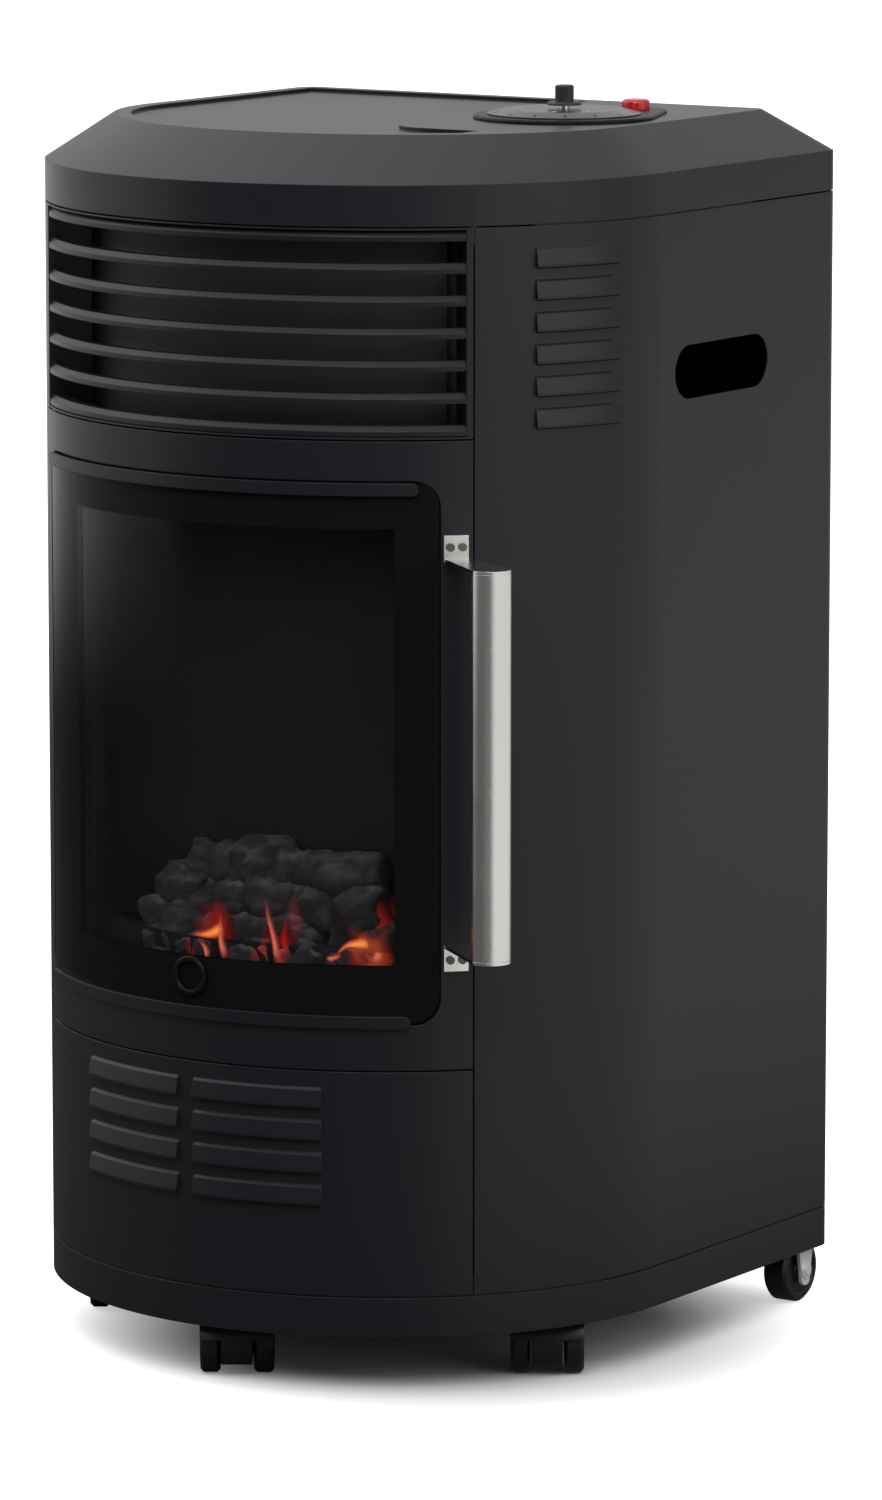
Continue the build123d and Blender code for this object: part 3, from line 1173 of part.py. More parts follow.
def hinge_pins():
    """Upper and lower pin, each with a collar that keeps the door off the seam."""
    x, y = hinge_axis()
    low_seam, high_seam = DOOR_SEAM - HALF_GAP, GRILLE_SEAM + HALF_GAP
    reach = SEAM_GAP + PANEL_T + HINGE_PIN_REACH
    grip = PANEL_T + HINGE_PLATE_T + 1
    lower = upright(HINGE_PIN_R, low_seam - grip, low_seam + reach, x, y)
    lower += upright(HINGE_PIN_R + 1.2, low_seam, low_seam + SEAM_GAP - SEAT, x, y)
    upper = upright(HINGE_PIN_R, high_seam - reach, high_seam + grip, x, y)
    upper += upright(HINGE_PIN_R + 1.2, high_seam - SEAM_GAP + SEAT, high_seam, x, y)
    return Compound([lower, upper])


def hinge_brackets():
    """Doubler plates that hold the pins on the flanges above and below the door."""
    x, y = hinge_axis()
    low = DOOR_SEAM - HALF_GAP - PANEL_T - HINGE_PLATE_T
    high = GRILLE_SEAM + HALF_GAP + PANEL_T
    plates = []
    middle = -EDGE_ANGLE + angle_of(HINGE_FROM_EDGE)
    spread = angle_of(HINGE_PLATE_W / 2)
    for z in (low, high):
        top = z + HINGE_PLATE_T
        plate = bowed(PANEL_T + SLAT_SETBACK + SEAT, DOOR_DEPTH, middle - spread, middle + spread, z, top)
        bore = upright(HINGE_PIN_R + SEAT / 2, z - 1, z + HINGE_PLATE_T + 1, x, y)
        plates.append(plate - bore)
    return Compound(plates)


def door_catch():
    """Magnet block that meets the strike of the door, on a strap from the right side panel."""
    middle = (DOOR_SEAM + GRILLE_SEAM) / 2
    bottom, top = middle - CATCH_H / 2, middle + CATCH_H / 2
    outer = DOOR_DEPTH + SWING / 2
    edge = SEAM_ANGLE + GAP_ANGLE
    sheet = angle_of(PANEL_T)
    strike = EDGE_ANGLE - angle_of(STRIKE_W)
    block = bowed(outer, outer + CATCH_DEPTH, strike, edge + sheet, bottom, top)
    start = edge + sheet + angle_of(SEAT)
    strap = bowed(4.0, outer + CATCH_DEPTH, start, start + angle_of(2.0), bottom, top)
    return block + strap + bowed(outer, outer + CATCH_DEPTH, edge, start + sheet, bottom, top)


# ---- assembly ----------------------------------------------------------------------------------
def build_parts():
    """All nodes of the heater, by name."""
    parts = {"base_tray": base_tray()}
    for name, place in (("front", front_stem()), ("left", side_stem(-1)), ("right", side_stem(1))):
        for piece, solid in twin_castor(place).items():
            parts[f"{name}_castor_{piece}"] = solid
    for name, side in (("left", -1), ("right", 1)):
        for piece, solid in rear_castor(side).items():
            parts[f"rear_{name}_castor_{piece}"] = solid
        parts[f"side_panel_{name}"] = side_panel(side)
    parts |= {
        "lower_panel": lower_panel(),
        "grille": grille(),
        "air_baffle": air_baffle(),
        "lid": lid(),
        "rear_frame": rear_frame(),
        "rear_cover": rear_cover(),
        "heat_shield": heat_shield(),
        "firebox_liner": firebox_liner(),
        "burner_tray": burner_tray(),
        "burner_tube": burner_tube(),
        "burner_injector": burner_injector(),
        "coal_grate": coal_grate(),
        "ceramic_coals": ceramic_coals(),
        "pilot_burner": pilot_burner(),
        "thermocouple": probe(0, 14.0),
        "spark_electrode": probe(1, 11.0),
        "gas_valve": gas_valve(),
        "valve_spindle": valve_spindle(),
        "control_knob": control_knob(),
        "dial_plate": dial_plate(),
        "control_plate": control_plate(),
        "igniter_button": igniter_button(),
        "igniter_body": igniter_body(),
        "valve_bracket": valve_bracket(),
        "inlet_nozzle": inlet_nozzle(),
        "gas_pipe": gas_pipe(),
        "pilot_pipe": pilot_pipe(),
        "door_frame": door_frame(),
        "door_glass": door_glass(),
        "glass_gasket": glass_gasket(),
        "glass_rail_top": top_rail(),
        "glass_rail_bottom": bottom_rail(),
        "sight_ring": sight_ring(),
        "handle_bar": handle_bar(),
        "handle_brackets": handle_brackets(),
        "handle_screws": handle_screws(),
        "hinge_pins": hinge_pins(),
        "hinge_brackets": hinge_brackets(),
        "door_catch": door_catch(),
    }
    return parts


os.makedirs("parts", exist_ok=True)
for node_name, node_solid in build_parts().items():
    export_step(node_solid, f"parts/{node_name}.step")
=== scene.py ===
"""Dresses the portable gas cabinet heater: finishes, door pane, coal fire, dial numbers and studio."""

import json
import logging
import math
from dataclasses import dataclass, field
from enum import Enum

import bmesh
import bpy
from mathutils import Matrix, Vector, noise

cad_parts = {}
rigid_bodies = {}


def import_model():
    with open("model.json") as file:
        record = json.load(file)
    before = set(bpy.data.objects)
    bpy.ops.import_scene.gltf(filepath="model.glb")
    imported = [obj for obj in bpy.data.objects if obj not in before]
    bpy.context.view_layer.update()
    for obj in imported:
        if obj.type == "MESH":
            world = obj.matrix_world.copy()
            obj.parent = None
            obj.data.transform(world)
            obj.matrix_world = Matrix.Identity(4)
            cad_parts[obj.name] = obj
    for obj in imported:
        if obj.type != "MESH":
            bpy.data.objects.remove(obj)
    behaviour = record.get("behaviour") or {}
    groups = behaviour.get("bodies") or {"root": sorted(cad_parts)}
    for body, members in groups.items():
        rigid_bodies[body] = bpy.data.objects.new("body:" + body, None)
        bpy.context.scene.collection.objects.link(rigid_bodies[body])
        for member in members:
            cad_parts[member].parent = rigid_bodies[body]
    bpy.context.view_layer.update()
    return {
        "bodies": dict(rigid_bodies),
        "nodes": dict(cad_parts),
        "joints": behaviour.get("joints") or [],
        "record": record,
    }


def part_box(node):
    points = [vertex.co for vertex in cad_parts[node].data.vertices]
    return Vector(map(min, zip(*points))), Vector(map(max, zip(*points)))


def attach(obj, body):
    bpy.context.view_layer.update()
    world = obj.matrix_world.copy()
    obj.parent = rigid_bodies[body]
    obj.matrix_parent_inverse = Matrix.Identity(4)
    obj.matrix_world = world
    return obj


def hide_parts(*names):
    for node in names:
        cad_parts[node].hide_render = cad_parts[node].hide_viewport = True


LOG = logging.getLogger("heater")
BEVEL_SAMPLES = 4
WHITE = (1.0, 1.0, 1.0, 1.0)
BLACK = (0.0, 0.0, 0.0, 1.0)

Colour = tuple[float, float, float]
Point = tuple[float, float, float]
Span = tuple[float, float]
Socket = bpy.types.NodeSocket


# ---- node helpers ------------------------------------------------------------------------------
class Graph:
    """A node tree with short calls to add and join nodes."""

    def __init__(self, tree: bpy.types.NodeTree) -> None:
        """Wraps the tree that new nodes go into."""
        self.tree = tree

    def add(self, kind: str, inputs: dict | None = None, **values: object) -> bpy.types.Node:
        """Adds a node.

        Args:
            kind: the node's type name, such as ShaderNodeMath.
            inputs: what its inputs are given, as in fill.
            **values: properties of the node.

        Returns:
            The new node.
        """
        node = self.tree.nodes.new(kind)
        for name, value in values.items():
            setattr(node, name, value)
        self.fill(node, inputs or {})
        return node

    def fill(self, node: bpy.types.Node, inputs: dict) -> None:
        """Gives a node's inputs their values.

        Args:
            node: the node.
            inputs: for the name or number of each input a socket to link to it, or a plain value.
        """
        for key, value in inputs.items():
            if isinstance(value, bpy.types.NodeSocket):
                self.tree.links.new(value, node.inputs[key])
            else:
                node.inputs[key].default_value = value

    def math(self, operation: str, first: object, second: object = 0.0) -> Socket:
        """Adds a Math node of two sockets or numbers."""
        return self.add("ShaderNodeMath", {0: first, 1: second}, operation=operation).outputs[0]

    def vector(self, operation: str, first: Socket, second: object = (0.0, 0.0, 0.0)) -> bpy.types.NodeOutputs:
        """Adds a Vector Math node of a socket and a second one, or a vector, where it takes two."""
        return self.add("ShaderNodeVectorMath", {0: first, 1: second}, operation=operation).outputs

    def split(self, vector: Socket) -> bpy.types.NodeOutputs:
        """Splits a vector into its outputs X, Y and Z."""
        return self.add("ShaderNodeSeparateXYZ", {0: vector}).outputs

    def texture_place(self) -> Socket:
        """The shaded point in the piece's own coordinates."""
        return self.add("ShaderNodeTexCoord").outputs["Object"]

    def rise(self, value: Socket, start: object, end: object, top: object = 1.0,
             bottom: object = 0.0) -> Socket:
        """A smooth rise; all but its value can be sockets or numbers.

        Args:
            value: what it is read from.
            start: value at which it starts.
            end: value at which it is full.
            top: its full height.
            bottom: its height before it starts.

        Returns:
            The rise.
        """
        inputs = {"Value": value, "From Min": start, "From Max": end, "To Min": bottom, "To Max": top}
        return self.add("ShaderNodeMapRange", inputs, interpolation_type="SMOOTHSTEP").outputs[0]

    def cloud(self, place: Socket, scale: object, detail: object) -> Socket:
        """Noise from 0 to 1 at a place, with this scale and detail, as sockets or numbers."""
        inputs = {"Vector": place, "Scale": scale, "Detail": detail}
        return self.add("ShaderNodeTexNoise", inputs).outputs["Fac"]

    def mix(self, share: Socket, first: Socket, second: object) -> Socket:
        """Mixes two colours.

        Args:
            share: how much of the second colour is taken.
            first: the first colour.
            second: the second colour, a socket or a plain colour.

        Returns:
            The mixed colour.
        """
        node = self.add("ShaderNodeMix", data_type="RGBA")
        spots = [index for index, socket in enumerate(node.inputs) if socket.type == "RGBA"]
        self.fill(node, {0: share, spots[0]: first, spots[1]: second})
        return next(socket for socket in node.outputs if socket.type == "RGBA")

    def colour_scale(self, value: Socket, stops: tuple[tuple, tuple, tuple], spot: float) -> Socket:
        """A scale of three colours.

        Args:
            value: where on the scale to read, from 0 to 1.
            stops: the colours at 0, in between and at 1.
            spot: where the middle colour lies.

        Returns:
            The colour.
        """
        node = self.add("ShaderNodeValToRGB", {0: value})
        scale = node.color_ramp.elements
        scale[0].color, scale[1].color = stops[0], stops[2]
        scale.new(spot).color = stops[1]
        return node.outputs[0]

    def rounded(self, radius: object) -> Socket:
        """The normal with its edges rounded by a radius, a socket or a number."""
        return self.add("ShaderNodeBevel", {"Radius": radius}, samples=BEVEL_SAMPLES).outputs[0]

    def relief(self, height: Socket, depth: float, normal: Socket | None = None) -> Socket:
        """Dents the normal by a height map.

        Args:
            height: the height map.
            depth: depth of the relief, in metres.
            normal: the normal to dent, where it isn't the plain one.

        Returns:
            The dented normal.
        """
        inputs = {"Strength": 1.0, "Distance": depth, "Height": height}
        if normal is not None:
            inputs["Normal"] = normal
        return self.add("ShaderNodeBump", inputs).outputs[0]


def new_material(name: str) -> tuple[bpy.types.Material, Graph, bpy.types.Node]:
    """Starts a material.

    Args:
        name: the material's name.

    Returns:
        The material, its node tree and its Principled shader.
    """
    material = bpy.data.materials.new(name)
    material.use_nodes = True
    return material, Graph(material.node_tree), material.node_tree.nodes["Principled BSDF"]


def add_object(name: str, data: bpy.types.ID) -> bpy.types.Object:
    """Adds an object to the scene.

    Args:
        name: the object's name.
        data: its mesh, text, lamp or camera.

    Returns:
        The new object.
    """
    made = bpy.data.objects.new(name, data)
    bpy.context.scene.collection.objects.link(made)
    return made


def add_mesh(name: str, shape: bmesh.types.BMesh) -> bpy.types.Object:
    """Turns a bmesh into an object of the scene.

    Args:
        name: the name of the object and its mesh.
        shape: the mesh, which is freed.

    Returns:
        The new object.
    """
    mesh = bpy.data.meshes.new(name)
    shape.to_mesh(mesh)
    shape.free()
    return add_object(name, mesh)


class SharedGroup:
    """A shader node group that several materials place with their own values."""

    def __init__(self, name: str, inputs: dict[str, object], outputs: dict[str, str]) -> None:
        """Makes the group's interface.

        Args:
            name: the group's name.
            inputs: default value of each named input; a number, a colour or a vector.
            outputs: socket type of each named output.
        """
        self.tree = bpy.data.node_groups.new(name, "ShaderNodeTree")
        for key, value in inputs.items():
            kind = "NodeSocketFloat"
            if isinstance(value, tuple):
                kind = "NodeSocketColor" if len(value) == 4 else "NodeSocketVector"
            socket = self.tree.interface.new_socket(key, in_out="INPUT", socket_type=kind)
            socket.default_value = value
        for key, kind in outputs.items():
            self.tree.interface.new_socket(key, in_out="OUTPUT", socket_type=kind)
        self.graph = Graph(self.tree)
        self.start = self.graph.add("NodeGroupInput").outputs
        self.end = self.graph.add("NodeGroupOutput")

    def place(self, graph: Graph, **values: object) -> bpy.types.NodeOutputs:
        """Places the group in a material.

        Args:
            graph: the material's node tree.
            **values: sockets or values of the inputs, with spaces in their names written as underscores.

        Returns:
            The outputs of the group node.
        """
        inputs = {key.replace("_", " "): value for key, value in values.items()}
        return graph.add("ShaderNodeGroup", inputs, node_tree=self.tree).outputs


def mottle_group() -> SharedGroup:
    """Slow change of tone and gloss over a surface.

    Returns:
        A group with the outputs Colour and Roughness.
    """
    group = SharedGroup(
        "surface_mottle",
        {"Colour": (0.5, 0.5, 0.5, 1.0), "Tone": 0.1, "Roughness": 0.5, "Gloss Change": 0.05, "Scale": 20.0,
         "Detail": 4.0},
        {"Colour": "NodeSocketColor", "Roughness": "NodeSocketFloat"},
    )
    graph, start = group.graph, group.start
    cloud = graph.cloud(graph.texture_place(), start["Scale"], start["Detail"])
    centred = graph.math("SUBTRACT", cloud, 0.5)
    tone = graph.math("ADD", graph.math("MULTIPLY", centred, start["Tone"]), 1.0)
    shade = graph.add("ShaderNodeHueSaturation", {"Color": start["Colour"], "Value": tone})
    gloss = graph.math("MULTIPLY", centred, start["Gloss Change"])
    graph.fill(group.end, {"Colour": shade.outputs[0],
                           "Roughness": graph.math("ADD", start["Roughness"], gloss)})
    return group


def grain_group() -> SharedGroup:
    """Fine relief of a coated, cast, moulded or brushed surface.

    Returns:
        A group with the output Height.
    """
    group = SharedGroup(
        "fine_grain",
        {"Scale": 900.0, "Stretch": (1.0, 1.0, 1.0), "Detail": 2.0},
        {"Height": "NodeSocketFloat"},
    )
    graph, start = group.graph, group.start
    stretched = graph.vector("MULTIPLY", graph.texture_place(), start["Stretch"])[0]
    graph.fill(group.end, {"Height": graph.cloud(stretched, start["Scale"], start["Detail"])})
    return group


def edge_highlight_group() -> SharedGroup:
    """Painted highlight on sharp edges: a lighter colour where the rounded normal leans away from the plain
    one.

    Returns:
        A group with the output Colour.
    """
    # The second colour is a painted edge highlight, mixed in where edges are sharp.
    group = SharedGroup(
        "painted_edge_highlight",
        {"Colour": (0.5, 0.5, 0.5, 1.0), "Worn Colour": (0.6, 0.6, 0.6, 1.0), "Radius": 0.0008,
         "Amount": 0.5, "Least Lean": 0.02, "Full Lean": 0.25},
        {"Colour": "NodeSocketColor"},
    )
    graph, start = group.graph, group.start
    flat = graph.add("ShaderNodeNewGeometry").outputs["Normal"]
    lean = graph.vector("DOT_PRODUCT", graph.rounded(start["Radius"]), flat)["Value"]
    mask = graph.add("ShaderNodeMapRange", {
        "Value": graph.math("SUBTRACT", 1.0, lean), "From Min": start["Least Lean"],
        "From Max": start["Full Lean"], "To Max": start["Amount"]}).outputs[0]
    graph.fill(group.end, {"Colour": graph.mix(mask, start["Colour"], start["Worn Colour"])})
    return group


def room_group() -> SharedGroup:
    """How bright the studio is in a level direction: light on both sides, dark in front of the heater.

    Returns:
        A group with the output Level.
    """
    group = SharedGroup(
        "studio_room",
        {"Direction": (0.0, -1.0, 0.0), "Dark Direction": (0.0, -1.0, 0.0), "Dark From": 0.64,
         "Dark Full": 0.8, "Dark Level": 0.13, "Left Level": 0.6, "Right Level": 0.6,
         "Left End": -0.3, "Right End": 0.3},
        {"Level": "NodeSocketFloat"},
    )
    graph, start = group.graph, group.start
    unit = graph.vector("NORMALIZE", start["Direction"])[0]
    toward = graph.vector("DOT_PRODUCT", unit, start["Dark Direction"])["Value"]
    sides = graph.rise(graph.split(unit)["X"], start["Left End"], start["Right End"],
                       start["Right Level"], start["Left Level"])
    level = graph.rise(toward, start["Dark From"], start["Dark Full"], start["Dark Level"], sides)
    graph.fill(group.end, {"Level": level})
    return group


@dataclass
class Groups:
    """The effects that more than one finish uses."""

    mottle: SharedGroup = field(default_factory=mottle_group)
    grain: SharedGroup = field(default_factory=grain_group)
    edge_highlight: SharedGroup = field(default_factory=edge_highlight_group)


# ---- finishes ----------------------------------------------------------------------------------
@dataclass(frozen=True)
class Finish:
    """A procedural surface: mottled tone and gloss, fine relief, and a painted highlight on sharp edges.

    Attributes:
        name: the material's name.
        colour: the base colour, linear.
        roughness: the mean roughness.
        metallic: 1 for bare metal.
        tone: how far the tone wanders, as a share.
        gloss_change: how far the roughness wanders.
        patch: scale of the wandering, per metre.
        grain_scale: scale of the relief, per metre.
        grain_depth: depth of the relief, in metres.
        stretch: how the relief is stretched.
        edge_highlight_colour: the colour of the painted highlight on sharp edges, or None.
        edge_highlight_amount: how strongly that painted highlight shows.
        edge_radius: the radius that sharp edges are shaded with.
        coat: weight of a clear coat.
        coat_roughness: roughness of that coat.
        specular: the shader's specular level.
        sheen: the colour of its reflections.
    """

    name: str
    colour: Colour
    roughness: float
    metallic: float = 0.0
    tone: float = 0.12
    gloss_change: float = 0.08
    patch: float = 18.0
    grain_scale: float = 900.0
    grain_depth: float = 0.00004
    stretch: Point = (1.0, 1.0, 1.0)
    edge_highlight_colour: Colour | None = None
    edge_highlight_amount: float = 0.4
    edge_radius: float = 0.0006
    coat: float = 0.0
    coat_roughness: float = 0.08
    specular: float = 0.5
    sheen: Colour = (1.0, 1.0, 1.0)

    def build(self, groups: Groups) -> bpy.types.Material:
        """Makes the material.

        Args:
            groups: the shared effects.

        Returns:
            The new material.
        """
        material, graph, shader = new_material(self.name)
        mottle = groups.mottle.place(
            graph, Colour=(*self.colour, 1.0), Tone=self.tone, Roughness=self.roughness,
            Gloss_Change=self.gloss_change, Scale=self.patch,
        )
        colour = mottle["Colour"]
        # Painted highlight: sharp edges are mixed towards a lighter colour.
        if self.edge_highlight_colour is not None:
            colour = groups.edge_highlight.place(
                graph, Colour=colour, Worn_Colour=(*self.edge_highlight_colour, 1.0), Radius=self.edge_radius,
                Amount=self.edge_highlight_amount,
            )["Colour"]
        grain = groups.grain.place(graph, Scale=self.grain_scale, Stretch=self.stretch)
        normal = graph.rounded(self.edge_radius) if self.edge_radius > 0 else None
        graph.fill(shader, {
            "Base Color": colour,
            "Roughness": mottle["Roughness"],
            "Metallic": self.metallic,
            "Specular IOR Level": self.specular,
            "Specular Tint": (*self.sheen, 1.0),
            "Coat Weight": self.coat,
            "Coat Roughness": self.coat_roughness,
            "Normal": graph.relief(grain["Height"], self.grain_depth, normal),
        })
        return material


@dataclass(frozen=True)
class TintedGlass:
    """Black tinted heat-proof glass.

    Attributes:
        name: the material's name.
        tint: the colour of what is seen through it.
        sheen: the colour of its reflections.
        roughness: the mean roughness.
        specular: the shader's specular level.
        bending: the index of refraction.
        tone: how far the tint wanders, as a share.
        gloss_change: how far the roughness wanders.
        patch: scale of the wandering, per metre.
    """

    name: str = "tinted_glass"
    tint: Colour = (0.60, 0.59, 0.61)
    sheen: Colour = (0.12, 0.12, 0.14)
    roughness: float = 0.0
    specular: float = 0.10
    bending: float = 1.25
    tone: float = 0.04
    gloss_change: float = 0.006
    patch: float = 9.0

    def build(self, groups: Groups) -> bpy.types.Material:
        """Makes the material.

        Args:
            groups: the shared effects.

        Returns:
            The new material.
        """
        material, graph, shader = new_material(self.name)
        mottle = groups.mottle.place(
            graph, Colour=(*self.tint, 1.0), Tone=self.tone, Roughness=self.roughness,
            Gloss_Change=self.gloss_change, Scale=self.patch,
        )
        graph.fill(shader, {
            "Base Color": mottle["Colour"],
            "Roughness": mottle["Roughness"],
            "Transmission Weight": 1.0,
            "IOR": self.bending,
            "Specular IOR Level": self.specular,
            "Specular Tint": (*self.sheen, 1.0),
        })
        return material


@dataclass(frozen=True)
class GlowingCoal:
    """Dark ceramic lump with a painted highlight on its upward crests, which glows low down and close to the
    flames.

    Attributes:
        name: the material's name.
        ash: the colour of the cold surface.
        crest_highlight: the colour of the painted highlight on the crests.
        ember: the colour of the hottest places.
        warm: the colour of places that are less hot.
        warm_at: share of the full heat at which they have that colour.
        roughness: the mean roughness.
        tone: how far the tone of the ash wanders, as a share.
        gloss_change: how far the roughness wanders.
        patch: scale of the wandering, per metre.
        crests: upward lean at which the painted highlight starts, and is full.
        crest_highlight_scale: scale of the highlight's patches, per metre.
        crest_highlight_detail: detail of the highlight's patches.
        highlight_spots: noise level at which a highlight patch starts, and is full.
        heights: height in metres below which the glow is full, and above which there is none.
        hot_scale: scale of the hot patches, per metre.
        hot_detail: detail of the hot patches.
        hot: noise level at which a hot patch starts, and is full.
        fires: where the flames burn, from left to right.
        reach: distance from a flame up to which the glow is full, and beyond which there is none.
        strength: emission strength.
        grain_scale: scale of the relief, per metre.
        grain_detail: detail of the relief.
        grain_depth: depth of the relief, in metres.
    """

    name: str = "ceramic_coal"
    ash: Colour = (0.055, 0.055, 0.058)
    crest_highlight: Colour = (0.20, 0.20, 0.205)
    ember: Colour = (1.0, 0.16, 0.02)
    warm: Colour = (0.45, 0.02, 0.004)
    warm_at: float = 0.45
    roughness: float = 0.9
    tone: float = 1.3
    gloss_change: float = 0.1
    patch: float = 70.0
    crests: Span = (0.15, 0.95)
    crest_highlight_scale: float = 95.0
    crest_highlight_detail: float = 5.0
    highlight_spots: Span = (0.38, 0.72)
    heights: Span = (0.277, 0.312)
    hot_scale: float = 40.0
    hot_detail: float = 3.0
    hot: Span = (0.40, 0.66)
    fires: tuple[float, float, float] = (-0.010, 0.040, 0.100)
    reach: Span = (0.004, 0.015)
    strength: float = 0.42
    grain_scale: float = 220.0
    grain_detail: float = 6.0
    grain_depth: float = 0.0022

    def build(self, groups: Groups) -> bpy.types.Material:
        """Makes the material.

        Args:
            groups: the shared effects.

        Returns:
            The new material.
        """
        material, graph, shader = new_material(self.name)
        mottle = groups.mottle.place(
            graph, Colour=(*self.ash, 1.0), Tone=self.tone, Roughness=self.roughness,
            Gloss_Change=self.gloss_change, Scale=self.patch,
        )
        place = graph.texture_place()
        normal = graph.add("ShaderNodeNewGeometry").outputs["Normal"]
        # Painted highlight: top-facing crests turn paler in patches, as if lit from above.
        crest = graph.rise(graph.split(normal)["Z"], *self.crests)
        patches = graph.rise(graph.cloud(place, self.crest_highlight_scale, self.crest_highlight_detail), *self.highlight_spots)
        highlight_spots = graph.math("MULTIPLY", crest, patches)
        stops = BLACK, (*self.warm, 1.0), (*self.ember, 1.0)
        grain = groups.grain.place(graph, Scale=self.grain_scale, Detail=self.grain_detail)
        graph.fill(shader, {
            "Base Color": graph.mix(highlight_spots, mottle["Colour"], (*self.crest_highlight, 1.0)),
            "Roughness": self.roughness,
            "Emission Color": graph.colour_scale(self.heat(graph, place), stops, self.warm_at),
            "Emission Strength": self.strength,
            "Normal": graph.relief(grain["Height"], self.grain_depth),
        })
        return material

    def heat(self, graph: Graph, place: Socket) -> Socket:
        """How hot the coal is: hot in patches, low down and near the flames.

        Args:
            graph: the tree to add to.
            place: the point on the coal.

        Returns:
            The heat, from 0 to 1.
        """
        split = graph.split(place)
        fall = graph.math("SUBTRACT", 1.0, graph.rise(split["Z"], *self.heights))
        hot = graph.rise(graph.cloud(place, self.hot_scale, self.hot_detail), *self.hot)
        near = 0.0
        for spot in self.fires:
            off = graph.math("ABSOLUTE", graph.math("SUBTRACT", split["X"], spot))
            near = graph.math("MAXIMUM", graph.math("SUBTRACT", 1.0, graph.rise(off, *self.reach)), near)
        return graph.math("MULTIPLY", graph.math("MULTIPLY", fall, hot), near)


class Flame(Enum):
    """The kinds of flame sheet, by the name of their finish."""

    TONGUE = "gas_flame"
    THREAD = "flame_thread"
    HAZE = "flame_haze"


@dataclass(frozen=True)
class FlameGlow:
    """Flame that cools from its foot to its tip and from its core to its sides.

    It is read from the mesh's own map, which runs across the sheet and from its foot to its tip.

    Attributes:
        kind: the kind of flame that it dresses.
        root: the colour of the hottest place.
        body: the colour in between.
        tip: the colour of the coolest place.
        strength: emission strength.
        body_at: share of the full cooling at which the body's colour lies.
        cooling: how much it cools up to the tip, and out to the sides.
        soft: distance from the core at which the sheet starts, and is full.
        fade: height at which the sheet starts below its tip, and is full.
        foot: height at which it starts above its foot, and is full.
        chart: name of the mesh's map.
    """

    kind: Flame
    root: Colour
    body: Colour
    tip: Colour
    strength: float
    body_at: float = 0.38
    cooling: Span = (0.7, 0.8)
    soft: Span = (1.0, 0.1)
    fade: Span = (1.0, 0.45)
    foot: Span = (0.0, 0.25)
    chart: str = "flame"

    def build(self) -> bpy.types.Material:
        """Makes the material.

        Returns:
            The new material.
        """
        material, graph, shader = new_material(self.kind.value)
        split = graph.split(graph.add("ShaderNodeUVMap", uv_map=self.chart).outputs[0])
        across = graph.math("ABSOLUTE", graph.math("SUBTRACT", split["X"], 0.5))
        off = graph.math("MULTIPLY", across, 2.0)
        cool = graph.math("ADD", graph.math("MULTIPLY", split["Y"], self.cooling[0]),
                          graph.math("MULTIPLY", off, self.cooling[1]))
        stops = (*self.root, 1.0), (*self.body, 1.0), (*self.tip, 1.0)
        body = graph.math("MULTIPLY", graph.rise(split["Y"], *self.fade), graph.rise(split["Y"], *self.foot))
        graph.fill(shader, {
            "Base Color": BLACK,
            "Roughness": 1.0,
            "Specular IOR Level": 0.0,
            "Emission Color": graph.colour_scale(cool, stops, self.body_at),
            "Emission Strength": self.strength,
            "Alpha": graph.math("MULTIPLY", graph.rise(off, *self.soft), body),
        })
        return material


